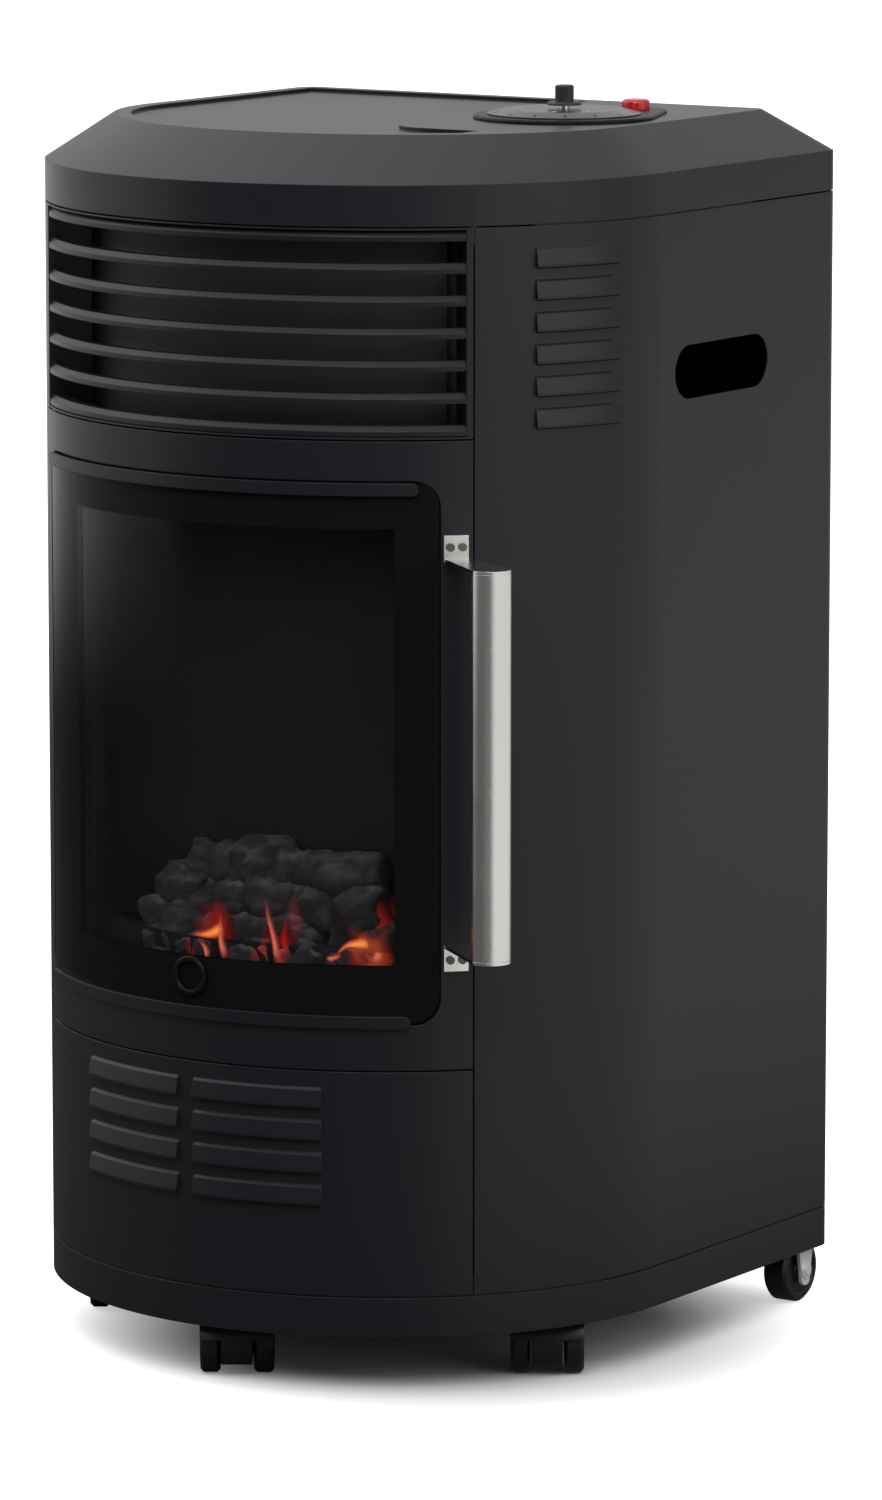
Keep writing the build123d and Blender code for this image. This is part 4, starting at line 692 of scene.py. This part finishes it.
class Palette:
    """Every finish of the heater, by the name of its material slot or piece."""

    def __init__(self) -> None:
        """Builds the shared groups and all materials."""
        groups = Groups()
        finishes = (
            # The lighter edge colour given to cabinet_paint is a painted highlight on its sharp edges.
            Finish("cabinet_paint", (0.0105, 0.0116, 0.0148), 0.34, tone=0.06, gloss_change=0.05, patch=7.0,
                   grain_scale=1400.0, grain_depth=0.00003, edge_radius=0.0009,
                   edge_highlight_colour=(0.030, 0.032, 0.037), edge_highlight_amount=0.5, specular=0.36),
            Finish("frame_paint", (0.034, 0.0345, 0.036), 0.55, grain_scale=1100.0, specular=0.3),
            Finish("galvanised", (0.55, 0.56, 0.57), 0.42, metallic=1.0, tone=0.35, patch=60.0),
            Finish("fire_steel", (0.034, 0.033, 0.034), 0.75, tone=0.5, patch=30.0, specular=0.15),
            Finish("stainless", (0.90, 0.90, 0.86), 0.17, metallic=1.0, tone=0.10, gloss_change=0.10,
                   patch=25.0, grain_scale=160.0, grain_depth=0.00005, stretch=(30.0, 30.0, 1.0),
                   edge_radius=0.0005),
            Finish("screw_steel", (0.16, 0.16, 0.13), 0.4, metallic=1.0, tone=0.4, patch=200.0,
                   edge_radius=0.0002),
            # zinc is mostly white diffuse: partly the plate's own pale tone, partly a painted reflection of
            # the bright room on the shaded side.
            Finish("zinc", (0.88, 0.91, 0.92), 0.34, metallic=0.3, tone=0.22, patch=90.0, edge_radius=0.0004),
            Finish("brass", (0.62, 0.42, 0.16), 0.33, metallic=1.0, tone=0.2, patch=80.0),
            Finish("pipe_metal", (0.66, 0.66, 0.65), 0.34, metallic=1.0, tone=0.15, patch=40.0),
            Finish("seal", (0.06, 0.06, 0.06), 0.95, tone=0.6, patch=300.0, grain_scale=700.0,
                   grain_depth=0.0006),
            Finish("gloss_black", (0.006, 0.006, 0.0065), 0.38, tone=0.1, gloss_change=0.04,
                   grain_depth=0.000004, edge_radius=0.0005, specular=0.14),
            Finish("dial_grey", (0.03, 0.031, 0.032), 0.22, tone=0.08, gloss_change=0.05,
                   grain_depth=0.000006, edge_radius=0.0005, specular=0.35),
            # The lighter edge colour given to soft_black is a painted highlight on its sharp edges.
            Finish("soft_black", (0.018, 0.018, 0.018), 0.45, tone=0.2, grain_scale=1500.0,
                   edge_radius=0.0003, edge_highlight_colour=(0.06, 0.06, 0.06)),
            Finish("castor_plastic", (0.008, 0.008, 0.0085), 0.38, tone=0.3, patch=50.0,
                   grain_scale=1200.0, grain_depth=0.00005, edge_radius=0.0006),
            Finish("red_plastic", (0.52, 0.008, 0.014), 0.22, tone=0.1, gloss_change=0.05, coat=0.3,
                   grain_depth=0.000006),
            Finish("white_ceramic", (0.78, 0.76, 0.70), 0.18, tone=0.06, grain_depth=0.00001),
            Finish("glass_print", (0.0085, 0.0085, 0.0090), 0.10, tone=0.1, gloss_change=0.03,
                   grain_depth=0.000001, edge_radius=0.0, specular=0.06, sheen=(0.16, 0.16, 0.18)),
            Finish("dial_print", (0.55, 0.55, 0.54), 0.4, tone=0.1, grain_depth=0.000002, edge_radius=0.0),
        )
        self.materials = {finish.name: finish.build(groups) for finish in finishes}
        self.materials["door_glass"] = TintedGlass().build(groups)
        self.materials["coal_ceramic"] = GlowingCoal().build(groups)
        flames = (
            FlameGlow(Flame.TONGUE, (1.0, 0.42, 0.05), (1.0, 0.27, 0.06), (0.75, 0.06, 0.03), 1.5),
            FlameGlow(Flame.THREAD, (1.0, 0.30, 0.18), (1.0, 0.20, 0.13), (0.55, 0.05, 0.035), 0.95),
            FlameGlow(Flame.HAZE, (1.0, 0.13, 0.05), (0.75, 0.035, 0.03), (0.25, 0.006, 0.006), 0.5),
        )
        for flame in flames:
            self.materials[flame.kind.value] = flame.build()

    def dress(self, piece: bpy.types.Object, name: str) -> None:
        """Puts one finish on every slot of a piece.

        Args:
            piece: the object to dress.
            name: the finish's name.
        """
        material = self.materials[name]
        if not piece.data.materials:
            piece.data.materials.append(material)
        for index in range(len(piece.data.materials)):
            piece.data.materials[index] = material


# ---- pieces ------------------------------------------------------------------------------------
class Workshop:
    """What every sub-assembly makes its pieces with: the frame and the palette."""

    def __init__(self, frame: dict, palette: Palette) -> None:
        self.frame = frame
        self.palette = palette

    def piece(self, name: str, shape: bmesh.types.BMesh, finish: str, body: str,
              slot: str) -> bpy.types.Object:
        """Turns a bmesh into a smooth, dressed piece that rides on a body.

        Args:
            name: the piece's name.
            shape: its mesh, which is freed.
            finish: the name of its finish.
            body: the body it rides on.
            slot: not used.

        Returns:
            The new object.
        """
        made = add_mesh(name, shape)
        faces = made.data.polygons
        faces.foreach_set("use_smooth", [True] * len(faces))
        self.palette.dress(made, finish)
        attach(made, body)
        LOG.info("%s: %d faces, rides on %s", name, len(faces), body)
        return made

    def sharpen(self, piece: bpy.types.Object, crease: float = 30.0) -> None:
        """Shades curved faces smooth and keeps the edges sharper than the crease angle.

        Args:
            piece: the object to shade.
            crease: the crease angle, in degrees.
        """
        mesh = piece.data
        shape = bmesh.new()
        shape.from_mesh(mesh)
        limit = math.radians(crease)
        sharp = [len(e.link_faces) == 2 and e.calc_face_angle(0.0) > limit for e in shape.edges]
        shape.free()
        mesh.polygons.foreach_set("use_smooth", [True] * len(mesh.polygons))
        mesh.edges.foreach_set("use_edge_sharp", sharp)


@dataclass
class CabinetPaintwork:
    """Gives every carried-over piece its finish and smooth curves.

    Attributes:
        shop: the frame and the palette.
        own: the finish of each node that doesn't have its slot's.
    """

    shop: Workshop
    own: dict[str, str] = field(default_factory=lambda: {
        "handle_screws": "screw_steel", "sight_ring": "gloss_black"})

    def build(self) -> None:
        """Dresses all nodes by the record's material slots, or by their own finish."""
        slots = {part["node"]: part["material_slot"] for part in self.shop.frame["record"]["subparts"]}
        slots.update(self.own)
        for name, node in self.shop.frame["nodes"].items():
            self.shop.palette.dress(node, slots[name])
            self.shop.sharpen(node)
            LOG.info("%s: finish %s", name, slots[name])


@dataclass
class Bow:
    """The bowed front of the heater, read from the frame.

    Attributes:
        radius: radius of the outer face of the door.
        centre_y: where the centre of the bow lies.
        baffle_inset: how far the air baffle lies behind that face.
    """

    radius: float = 0.2205
    centre_y: float = 0.0
    baffle_inset: float = 0.033

    @classmethod
    def from_frame(cls) -> "Bow":
        """Places the bow by the front of the air baffle.

        Returns:
            The bow of this frame.
        """
        low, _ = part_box("air_baffle")
        return cls(centre_y=low[1] - cls.baffle_inset + cls.radius)

    def point(self, inset: float, angle: float, height: float) -> Vector:
        """A point on or behind the bow.

        Args:
            inset: distance behind the door's face.
            angle: degrees from straight ahead.
            height: height above the floor.

        Returns:
            The point.
        """
        turn = math.radians(angle)
        reach = self.radius - inset
        return Vector((reach * math.sin(turn), self.centre_y - reach * math.cos(turn), height))


@dataclass
class DoorPane:
    """The bowed pane: tinted glass in the window, and opaque black print round it.

    Attributes:
        shop: the frame and the palette.
        bow: the heater's bowed front.
        sides: left and right angle of the pane.
        window: left and right angle, bottom and top height of the clear window.
        corner: radius of the right corners.
        faces: how far its front and back lie behind the door's face.
        step: widest column, in degrees.
        finer: how many times narrower the columns are at the round corners.
    """

    shop: Workshop
    bow: Bow
    sides: Span = (-44.0, 41.3)
    window: tuple[float, float, float, float] = (-30.0, 34.3, 0.2735, 0.5470)
    corner: float = 0.015
    faces: Span = (0.0002, 0.0042)
    step: float = 1.5
    finer: int = 4

    def build(self) -> None:
        """Makes the pane of columns of faces, front and back, closed by a rim."""
        low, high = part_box("door_glass")
        left, right = self.sides
        inner_left, inner_right, _, _ = self.window
        turn = math.degrees(self.corner / self.bow.radius)
        stops = (left, inner_left, inner_right, right - turn, right)
        columns = [left]
        for start, end in zip(stops, stops[1:]):
            step = self.step if end < right else self.step / self.finer
            count = max(1, math.ceil((end - start) / step))
            columns += [start + (end - start) * (index + 1) / count for index in range(count)]
        shape = bmesh.new()
        sheets = [[[shape.verts.new(self.bow.point(inset, angle, height))
                    for height in self.heights(angle, low[2], high[2])] for angle in columns]
                  for inset in self.faces]
        rows = len(sheets[0][0])
        for index, angle in enumerate(columns[:-1]):
            inside = inner_left - self.step / 2 < angle < inner_right - self.step / 4
            for row in range(rows - 1):
                for sheet in sheets:
                    first, second = sheet[index], sheet[index + 1]
                    corners = [first[row], second[row], second[row + 1], first[row + 1]]
                    face = shape.faces.new(corners if sheet is sheets[0] else corners[::-1])
                    face.material_index = int(inside and row == rows // 2 - 1)
        self.close(shape, sheets, rows)
        pane = self.shop.piece("door_pane", shape, "glass_print", "door", slot="door_glass")
        pane.data.materials.append(self.shop.palette.materials["door_glass"])
        self.shop.sharpen(pane)
        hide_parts("door_glass")

    def close(self, shape: bmesh.types.BMesh, sheets: list, rows: int) -> None:
        """Joins the rims of the front and the back sheet.

        Args:
            shape: the mesh to add to.
            sheets: the vertices of both sheets, by column and row.
            rows: how many vertices a column has.
        """
        front, back = sheets
        rim = [(index, 0) for index in range(len(front))]
        rim += [(len(front) - 1, row) for row in range(1, rows)]
        rim += [(index, rows - 1) for index in range(len(front) - 2, -1, -1)]
        rim += [(0, row) for row in range(rows - 2, 0, -1)]
        for (column, row), (after, above) in zip(rim, rim[1:] + rim[:1]):
            shape.faces.new((front[after][above], front[column][row], back[column][row], back[after][above]))

    def heights(self, angle: float, bottom: float, top: float) -> tuple[float, float, float, float]:
        """Heights of the pane's rows at an angle: its edges and the window's edges.

        Args:
            angle: degrees from straight ahead.
            bottom: height of the pane's lower edge.
            top: height of the pane's upper edge.

        Returns:
            The heights from low to high.
        """
        turn = math.degrees(self.corner / self.bow.radius)
        into = max(0.0, turn - (self.sides[1] - angle)) / turn
        cut = self.corner * (1 - math.sqrt(max(0.0, 1 - into ** 2)))
        return bottom + cut, self.window[2], self.window[3], top - cut


@dataclass(frozen=True)
class Bank:
    """One row of coals: its place from front to back as a share, its height in lump sizes, its scale."""

    share_y: float
    lift: float
    scale: float


@dataclass(frozen=True)
class Sheet:
    """One flame sheet: place across and height of its foot and its tip, its width and its kind."""

    foot: Span
    tip: Span
    width: float
    kind: Flame


@dataclass
class CoalFire:
    """Heaped ceramic coals with embers and gas flames between them.

    Attributes:
        shop: the frame and the palette.
        banks: the rows of lumps, from front to back.
        columns: how many lumps the front row has.
        size: longest side of a lump.
        low_z: height of the grate.
        wander: how far a lump lies above or below its row.
        uneven: how far lumps differ in size, as a share.
        ends: distance of the first and the last lump from the bed's ends.
        gaps: least distance of a lump's middle from the bed's front and back.
        shares: breadth, depth and height of a lump in its longest sides.
        squareness: 2 for round lumps, more for square ones.
        twist: turn from one lump to the next, in radians.
        lean: the most that a lump leans, in radians.
        scatter: step from one lump's dents to the next's.
        dents: frequency and depth of the dents.
        facets: frequency and depth of the broken faces.
        centre_y: where the centre of the bed's bowed front lies.
        front_radius: radius of that front.
        crumbs: how many small coals hang over the tray's rim.
        crumb_size: longest side of a small coal.
        crumb_radius: radius on which the small coals lie.
        crumb_z: height at which they lie.
        crumb_wander: how far they lie above or below it.
        crumb_uneven: how far they differ in size, as a share.
        flame_radius: radius on which the flames stand.
        haze_back: how far the haze stands behind them.
        bulge: how far a sheet's middle stands out.
        bend: how far a sheet sways.
        sway: how far the sway turns up a sheet, and per metre from one to the next, in radians.
        taper: how fast a sheet narrows towards its tip.
        tip_half: half the width of its tip.
        grid: rows and columns of faces of a sheet.
        sheets: the flame sheets.
    """

    shop: Workshop
    banks: tuple[Bank, ...] = (Bank(0.30, 0.20, 0.95), Bank(0.55, 0.74, 1.05), Bank(0.8, 1.28, 1.0))
    columns: int = 8
    size: float = 0.036
    low_z: float = 0.276
    wander: float = 0.002
    uneven: float = 0.16
    ends: Span = (0.057, 0.016)
    gaps: Span = (0.016, 0.014)
    shares: Point = (1.0, 0.74, 0.72)
    squareness: float = 3.2
    twist: float = 0.9
    lean: float = 0.4
    scatter: Point = (3.1, 1.7, 0.9)
    dents: tuple[Span, ...] = ((1.3, 0.18), (3.4, 0.11), (8.0, 0.05))
    facets: Span = (1.6, 0.22)
    centre_y: float = 0.0101
    front_radius: float = 0.190
    crumbs: int = 16
    crumb_size: float = 0.026
    crumb_radius: float = 0.1858
    crumb_z: float = 0.2705
    crumb_wander: float = 0.0015
    crumb_uneven: float = 0.15
    flame_radius: float = 0.1992
    haze_back: float = 0.003
    bulge: float = 0.002
    bend: float = 0.0014
    sway: Span = (5.0, 300.0)
    taper: float = 1.6
    tip_half: float = 0.0004
    grid: tuple[int, int] = (12, 6)
    sheets: tuple[Sheet, ...] = (
        Sheet((0.009, 0.290), (-0.018, 0.2805), 0.010, Flame.TONGUE),
        Sheet((0.009, 0.269), (0.005, 0.303), 0.007, Flame.THREAD),
        Sheet((-0.003, 0.269), (-0.012, 0.2815), 0.006, Flame.THREAD),
        Sheet((0.000, 0.279), (0.004, 0.310), 0.032, Flame.HAZE),
        Sheet((0.044, 0.2695), (0.0385, 0.315), 0.006, Flame.THREAD),
        Sheet((0.050, 0.270), (0.049, 0.304), 0.014, Flame.HAZE),
        Sheet((0.101, 0.2865), (0.079, 0.277), 0.010, Flame.TONGUE),
        Sheet((0.101, 0.272), (0.104, 0.318), 0.034, Flame.HAZE),
        Sheet((0.0775, 0.272), (0.084, 0.280), 0.006, Flame.THREAD),
        Sheet((0.103, 0.271), (0.105, 0.295), 0.008, Flame.THREAD),
    )

    def build(self) -> None:
        """Makes the coal bed and the flames; the factors inside the waves only scatter the lumps."""
        low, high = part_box("ceramic_coals")
        first, last = low[0] + self.ends[0], high[0] - self.ends[1]
        shape = bmesh.new()
        for row, bank in enumerate(self.banks):
            for column in range(self.columns - row):
                seed = 31 * row + column
                x = first + (column + row / 2) * (last - first) / (self.columns - 1)
                edge = self.depth(self.front_radius, x)
                y = max(edge + self.gaps[0], edge + bank.share_y * (high[1] - edge))
                z = self.low_z + bank.lift * self.size + self.wander * math.cos(1.7 * column + row)
                size = self.size * bank.scale * (1 + self.uneven * math.sin(2.1 * seed))
                self.lump(shape, Vector((x, min(y, high[1] - self.gaps[1]), z)), size, seed)
        for index in range(self.crumbs):
            x = first + index * (last - first) / (self.crumbs - 1)
            z = self.crumb_z + self.crumb_wander * math.cos(2.3 * index)
            size = self.crumb_size * (1 + self.crumb_uneven * math.sin(1.9 * index))
            self.lump(shape, Vector((x, self.depth(self.crumb_radius, x), z)), size, 100 + index)
        bed = self.shop.piece("coal_bed", shape, "coal_ceramic", "cabinet", slot="coal_ceramic")
        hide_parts("ceramic_coals")
        for index, sheet in enumerate(self.sheets):
            self.flame(f"flame_{index + 1}", sheet)

    def depth(self, radius: float, x: float) -> float:
        """Where a bow of this radius lies from front to back, at a place across."""
        return self.centre_y - math.sqrt(radius ** 2 - x ** 2)

    def lump(self, shape: bmesh.types.BMesh, spot: Vector, size: float, seed: int) -> None:
        """Adds one broken-edged lump.

        Args:
            shape: the mesh to add to.
            spot: the middle of the lump.
            size: its longest side.
            seed: turns and dents the lump its own way.
        """
        made = bmesh.ops.create_icosphere(shape, subdivisions=4, radius=1.0)["verts"]
        lean = Matrix.Rotation(self.lean * math.sin(seed), 3, "X")
        turn = Matrix.Rotation(self.twist * seed, 3, "Z") @ lean
        offset = Vector([seed * step for step in self.scatter])
        often, deep = self.facets
        for vert in made:
            way = vert.co.normalized()
            reach = 0.5 / sum(abs(part) ** self.squareness for part in way) ** (1 / self.squareness)
            dents = sum(noise.noise(way * rate + offset) * depth for rate, depth in self.dents)
            facets = noise.voronoi(way * often + offset)[0][0] * deep
            point = way * reach * (1 + dents + facets)
            vert.co = spot + turn @ Vector([part * size * share for part, share in zip(point, self.shares)])

    def flame(self, name: str, sheet: Sheet) -> None:
        """Makes one curved flame sheet in front of the coals, with its map.

        Args:
            name: the piece's name.
            sheet: where it stands.
        """
        shape = bmesh.new()
        chart = shape.loops.layers.uv.new("flame")
        rows, sides = self.grid
        foot = Vector(sheet.foot)
        way = Vector((sheet.tip[0] - foot[0], sheet.tip[1] - foot[1]))
        cross = Vector((way[1], -way[0])).normalized()
        back = self.haze_back if sheet.kind is Flame.HAZE else 0.0
        points = []
        for row in range(rows + 1):
            up = row / rows
            half = sheet.width / 2 * (1 - up ** self.taper) + self.tip_half
            sway = self.bend * math.sin(self.sway[0] * up + self.sway[1] * sheet.foot[0])
            for side in range(sides + 1):
                aside = 2 * side / sides - 1
                flat = foot + way * up + cross * (aside * half + sway)
                y = self.depth(self.flame_radius, flat[0]) - self.bulge * (1 - aside ** 2) + back
                points.append((shape.verts.new((flat[0], y, flat[1])), (side / sides, up)))
        for row in range(rows):
            for side in range(sides):
                start = row * (sides + 1) + side
                corners = [points[index] for index in (start, start + 1, start + sides + 2, start + sides + 1)]
                face = shape.faces.new([vert for vert, _ in corners])
                for loop, (_, spot) in zip(face.loops, corners):
                    loop[chart].uv = spot
        self.shop.piece(name, shape, sheet.kind.value, "cabinet", slot="coal_ceramic")


@dataclass
class DialNumbers:
    """Plain numbers on the dial.

    Attributes:
        shop: the frame and the palette.
        count: how many numbers there are.
        radius: how far from the knob's axis they stand.
        size: their height.
        thickness: half their thickness.
        lift: how far their middle lies above the dial.
        first: angle of the first number, in degrees.
        step: angle from one number to the next, in degrees.
    """

    shop: Workshop
    count: int = 4
    radius: float = 0.030
    size: float = 0.007
    thickness: float = 0.00005
    lift: float = 0.00006
    first: float = -150.0
    step: float = 40.0

    def build(self) -> None:
        """Sets the numbers round the knob."""
        low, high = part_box("dial_plate")
        centre = [(start + end) / 2 for start, end in zip(low, high)]
        for number in range(self.count):
            angle = math.radians(self.first + number * self.step)
            name = f"dial_number_{number}"
            text = bpy.data.curves.new(name, "FONT")
            text.body = str(number)
            text.size = self.size
            text.extrude = self.thickness
            text.align_x = "CENTER"
            text.align_y = "CENTER"
            made = add_object(name, text)
            made.location = (centre[0] + self.radius * math.cos(angle),
                             centre[1] + self.radius * math.sin(angle), high[2] + self.lift)
            made.rotation_euler = (0.0, 0.0, angle + math.radians(90))
            text.materials.append(self.shop.palette.materials["dial_print"])
            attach(made, "cabinet")
            LOG.info("%s: rides on cabinet", name)


# ---- studio ------------------------------------------------------------------------------------
@dataclass(frozen=True)
class Lamp:
    """A square soft lamp.

    Attributes:
        name: the lamp's name.
        place: where it hangs.
        target: what it faces.
        size: its side.
        power: its power in watts.
    """

    name: str
    place: Point
    target: Point
    size: float
    power: float

    def build(self) -> None:
        """Hangs the lamp."""
        data = bpy.data.lights.new(self.name, "AREA")
        data.size = self.size
        data.energy = self.power
        made = add_object(self.name, data)
        made.location = self.place
        made.rotation_mode = "QUATERNION"
        made.rotation_quaternion = (Vector(self.target) - Vector(self.place)).to_track_quat("-Z", "Y")


@dataclass
class Studio:
    """White room with soft lamps and the camera.

    Attributes:
        camera_place: where the camera stands, in metres.
        azimuth: how far it looks from the front, in degrees.
        pitch: how far it looks down, in degrees.
        lens: focal length on a picture side of that many millimetres.
        sensor: that side.
        view_end: how far the camera sees.
        lamps: the lamps.
        dark_azimuth: where the dark end of the room is, in degrees from the front.
        sky_left: brightness of the wall on the left.
        sky_right: brightness of the wall on the right.
        sky_low: what is left of it near the ground, as a share.
        low_wall: rise of a direction at which the wall starts to brighten, and is full.
        floor_size: half the side of the floor.
        floor_roughness: its roughness.
        floor_tone: colour of the floor as the camera sees it.
        floor_bounce: colour of the floor for diffuse light.
        floor_mirrored: colour of the floor near the heater in reflections.
        shadow_middle: the middle of the shadow on the floor.
        shadow: distance from it inside which the floor has only its shadow, and beyond which it is white.
        mirror: distance at which the floor starts to show in reflections, and shows fully.
        mirror_level: brightness of its left half there.
        left_half: where the left half starts, and is full.
        right_level: least brightness of its right half in reflections.
        right_half: where the right half starts, and is full.
        room: the shared studio brightness.
    """

    camera_place: Point = (2.7305, -4.0881, 1.1637)
    azimuth: float = 33.294
    pitch: float = 9.105
    lens: float = 185.0
    sensor: float = 36.0
    view_end: float = 50.0
    lamps: tuple[Lamp, ...] = (
        Lamp("lamp_above", (-0.4, -0.2, 3.0), (0.0, 0.0, 0.4), 4.0, 14.0),
        Lamp("lamp_left", (-2.6, -1.0, 2.2), (0.0, 0.0, 0.45), 2.6, 14.0),
        Lamp("lamp_right", (2.6, -0.2, 1.7), (0.1, 0.0, 0.45), 2.6, 20.0),
        Lamp("lamp_front", (1.3, -2.3, 2.7), (0.0, -0.1, 0.45), 1.8, 43.0),
    )
    dark_azimuth: float = 4.0
    sky_left: float = 0.86
    sky_right: float = 0.43
    sky_low: float = 0.6
    low_wall: Span = (0.0, 0.3)
    floor_size: float = 12.0
    floor_roughness: float = 0.9
    floor_tone: float = 0.95
    floor_bounce: float = 0.22
    floor_mirrored: float = 0.09
    shadow_middle: Point = (0.06, -0.01, 0.0)
    shadow: Span = (0.13, 0.335)
    mirror: Span = (2.6, 4.8)
    mirror_level: float = 0.9
    left_half: Span = (-0.5, 0.5)
    right_level: float = 0.58
    right_half: Span = (0.0, 1.0)
    room: SharedGroup = field(default_factory=room_group)

    def build(self) -> None:
        """Sets the camera, the world, the floor and the lamps."""
        self.camera()
        self.world()
        self.floor()
        for lamp in self.lamps:
            lamp.build()
        bpy.context.scene.view_settings.view_transform = "Standard"

    def camera(self) -> None:
        """Stands the camera where the photograph was taken from."""
        data = bpy.data.cameras.new("camera")
        data.lens = self.lens
        data.sensor_width = self.sensor
        data.clip_end = self.view_end
        camera = add_object("camera", data)
        camera.location = self.camera_place
        camera.rotation_euler = (math.radians(90 - self.pitch), 0.0, math.radians(self.azimuth))
        bpy.context.scene.camera = camera

    def room_level(self, graph: Graph, way: Socket, left: float, right: float) -> Socket:
        """Places the shared studio brightness.

        Args:
            graph: the tree to add to.
            way: the direction that is looked in.
            left: brightness on the left.
            right: brightness on the right.

        Returns:
            The brightness in that direction.
        """
        turn = math.radians(self.dark_azimuth)
        dark = (math.sin(turn), -math.cos(turn), 0.0)
        place = self.room.place
        return place(graph, Direction=way, Dark_Direction=dark, Left_Level=left, Right_Level=right)["Level"]

    def world(self) -> None:
        """White to the camera, and a room that is light all round but dark in front of the heater."""
        world = bpy.data.worlds.new("white_room")
        world.use_nodes = True
        bpy.context.scene.world = world
        graph = Graph(world.node_tree)
        path = graph.add("ShaderNodeLightPath").outputs
        way = graph.add("ShaderNodeTexCoord").outputs["Generated"]
        lift = graph.math("MAXIMUM", graph.rise(graph.split(way)["Z"], *self.low_wall), self.sky_low)
        level = graph.math("MULTIPLY", self.room_level(graph, way, self.sky_left, self.sky_right), lift)
        shown = graph.math("MAXIMUM", path["Is Camera Ray"], path["Is Transmission Ray"])
        strength = graph.math("MAXIMUM", shown, level)
        graph.fill(world.node_tree.nodes["Background"], {"Color": WHITE, "Strength": strength})

    def floor(self) -> None:
        """Lays a wide white floor that keeps the soft shadow."""
        shape = bmesh.new()
        bmesh.ops.create_grid(shape, x_segments=1, y_segments=1, size=self.floor_size)
        floor = add_mesh("floor", shape)
        material, graph, shader = new_material("white_floor")
        path = graph.add("ShaderNodeLightPath").outputs
        camera, glossy = path["Is Camera Ray"], path["Is Glossy Ray"]
        dimmed = graph.math("MULTIPLY", glossy, self.floor_bounce - self.floor_mirrored)
        unseen = graph.math("SUBTRACT", self.floor_bounce, dimmed)
        tone = graph.math("MAXIMUM", graph.math("MULTIPLY", camera, self.floor_tone), unseen)
        place = graph.texture_place()
        near = graph.vector("DISTANCE", place, self.shadow_middle)["Value"]
        shown = graph.math("MULTIPLY", graph.rise(near, *self.shadow), camera)
        mirrored = graph.math("MULTIPLY", self.mirrored(graph, place), glossy)
        graph.fill(shader, {
            "Base Color": tone,
            "Roughness": self.floor_roughness,
            "Specular IOR Level": 0.0,
            "Emission Color": WHITE,
            "Emission Strength": graph.math("MAXIMUM", shown, mirrored),
        })
        floor.data.materials.append(material)

    def mirrored(self, graph: Graph, place: Socket) -> Socket:
        """How bright the floor is in reflections.

        Args:
            graph: the tree to add to.
            place: the point on the floor.

        Returns:
            The brightness.
        """
        away = graph.vector("LENGTH", place)["Value"]
        far = graph.rise(away, *self.mirror, self.mirror_level)
        across = graph.split(place)["X"]
        left = graph.rise(graph.math("MULTIPLY", across, -1.0), *self.left_half)
        right = graph.rise(across, *self.right_half, self.right_level)
        level = graph.math("MAXIMUM", graph.math("MULTIPLY", far, left), right)
        return graph.math("MULTIPLY", level, self.room_level(graph, place, 1.0, 1.0))


def main() -> None:
    """Loads the frame and builds every sub-assembly."""
    logging.basicConfig(level=logging.INFO, format="%(name)s %(message)s")
    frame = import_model()
    shop = Workshop(frame, Palette())
    bow = Bow.from_frame()
    CabinetPaintwork(shop).build()
    DoorPane(shop, bow).build()
    CoalFire(shop).build()
    DialNumbers(shop).build()
    Studio().build()


if __name__ == "__main__":
    main()
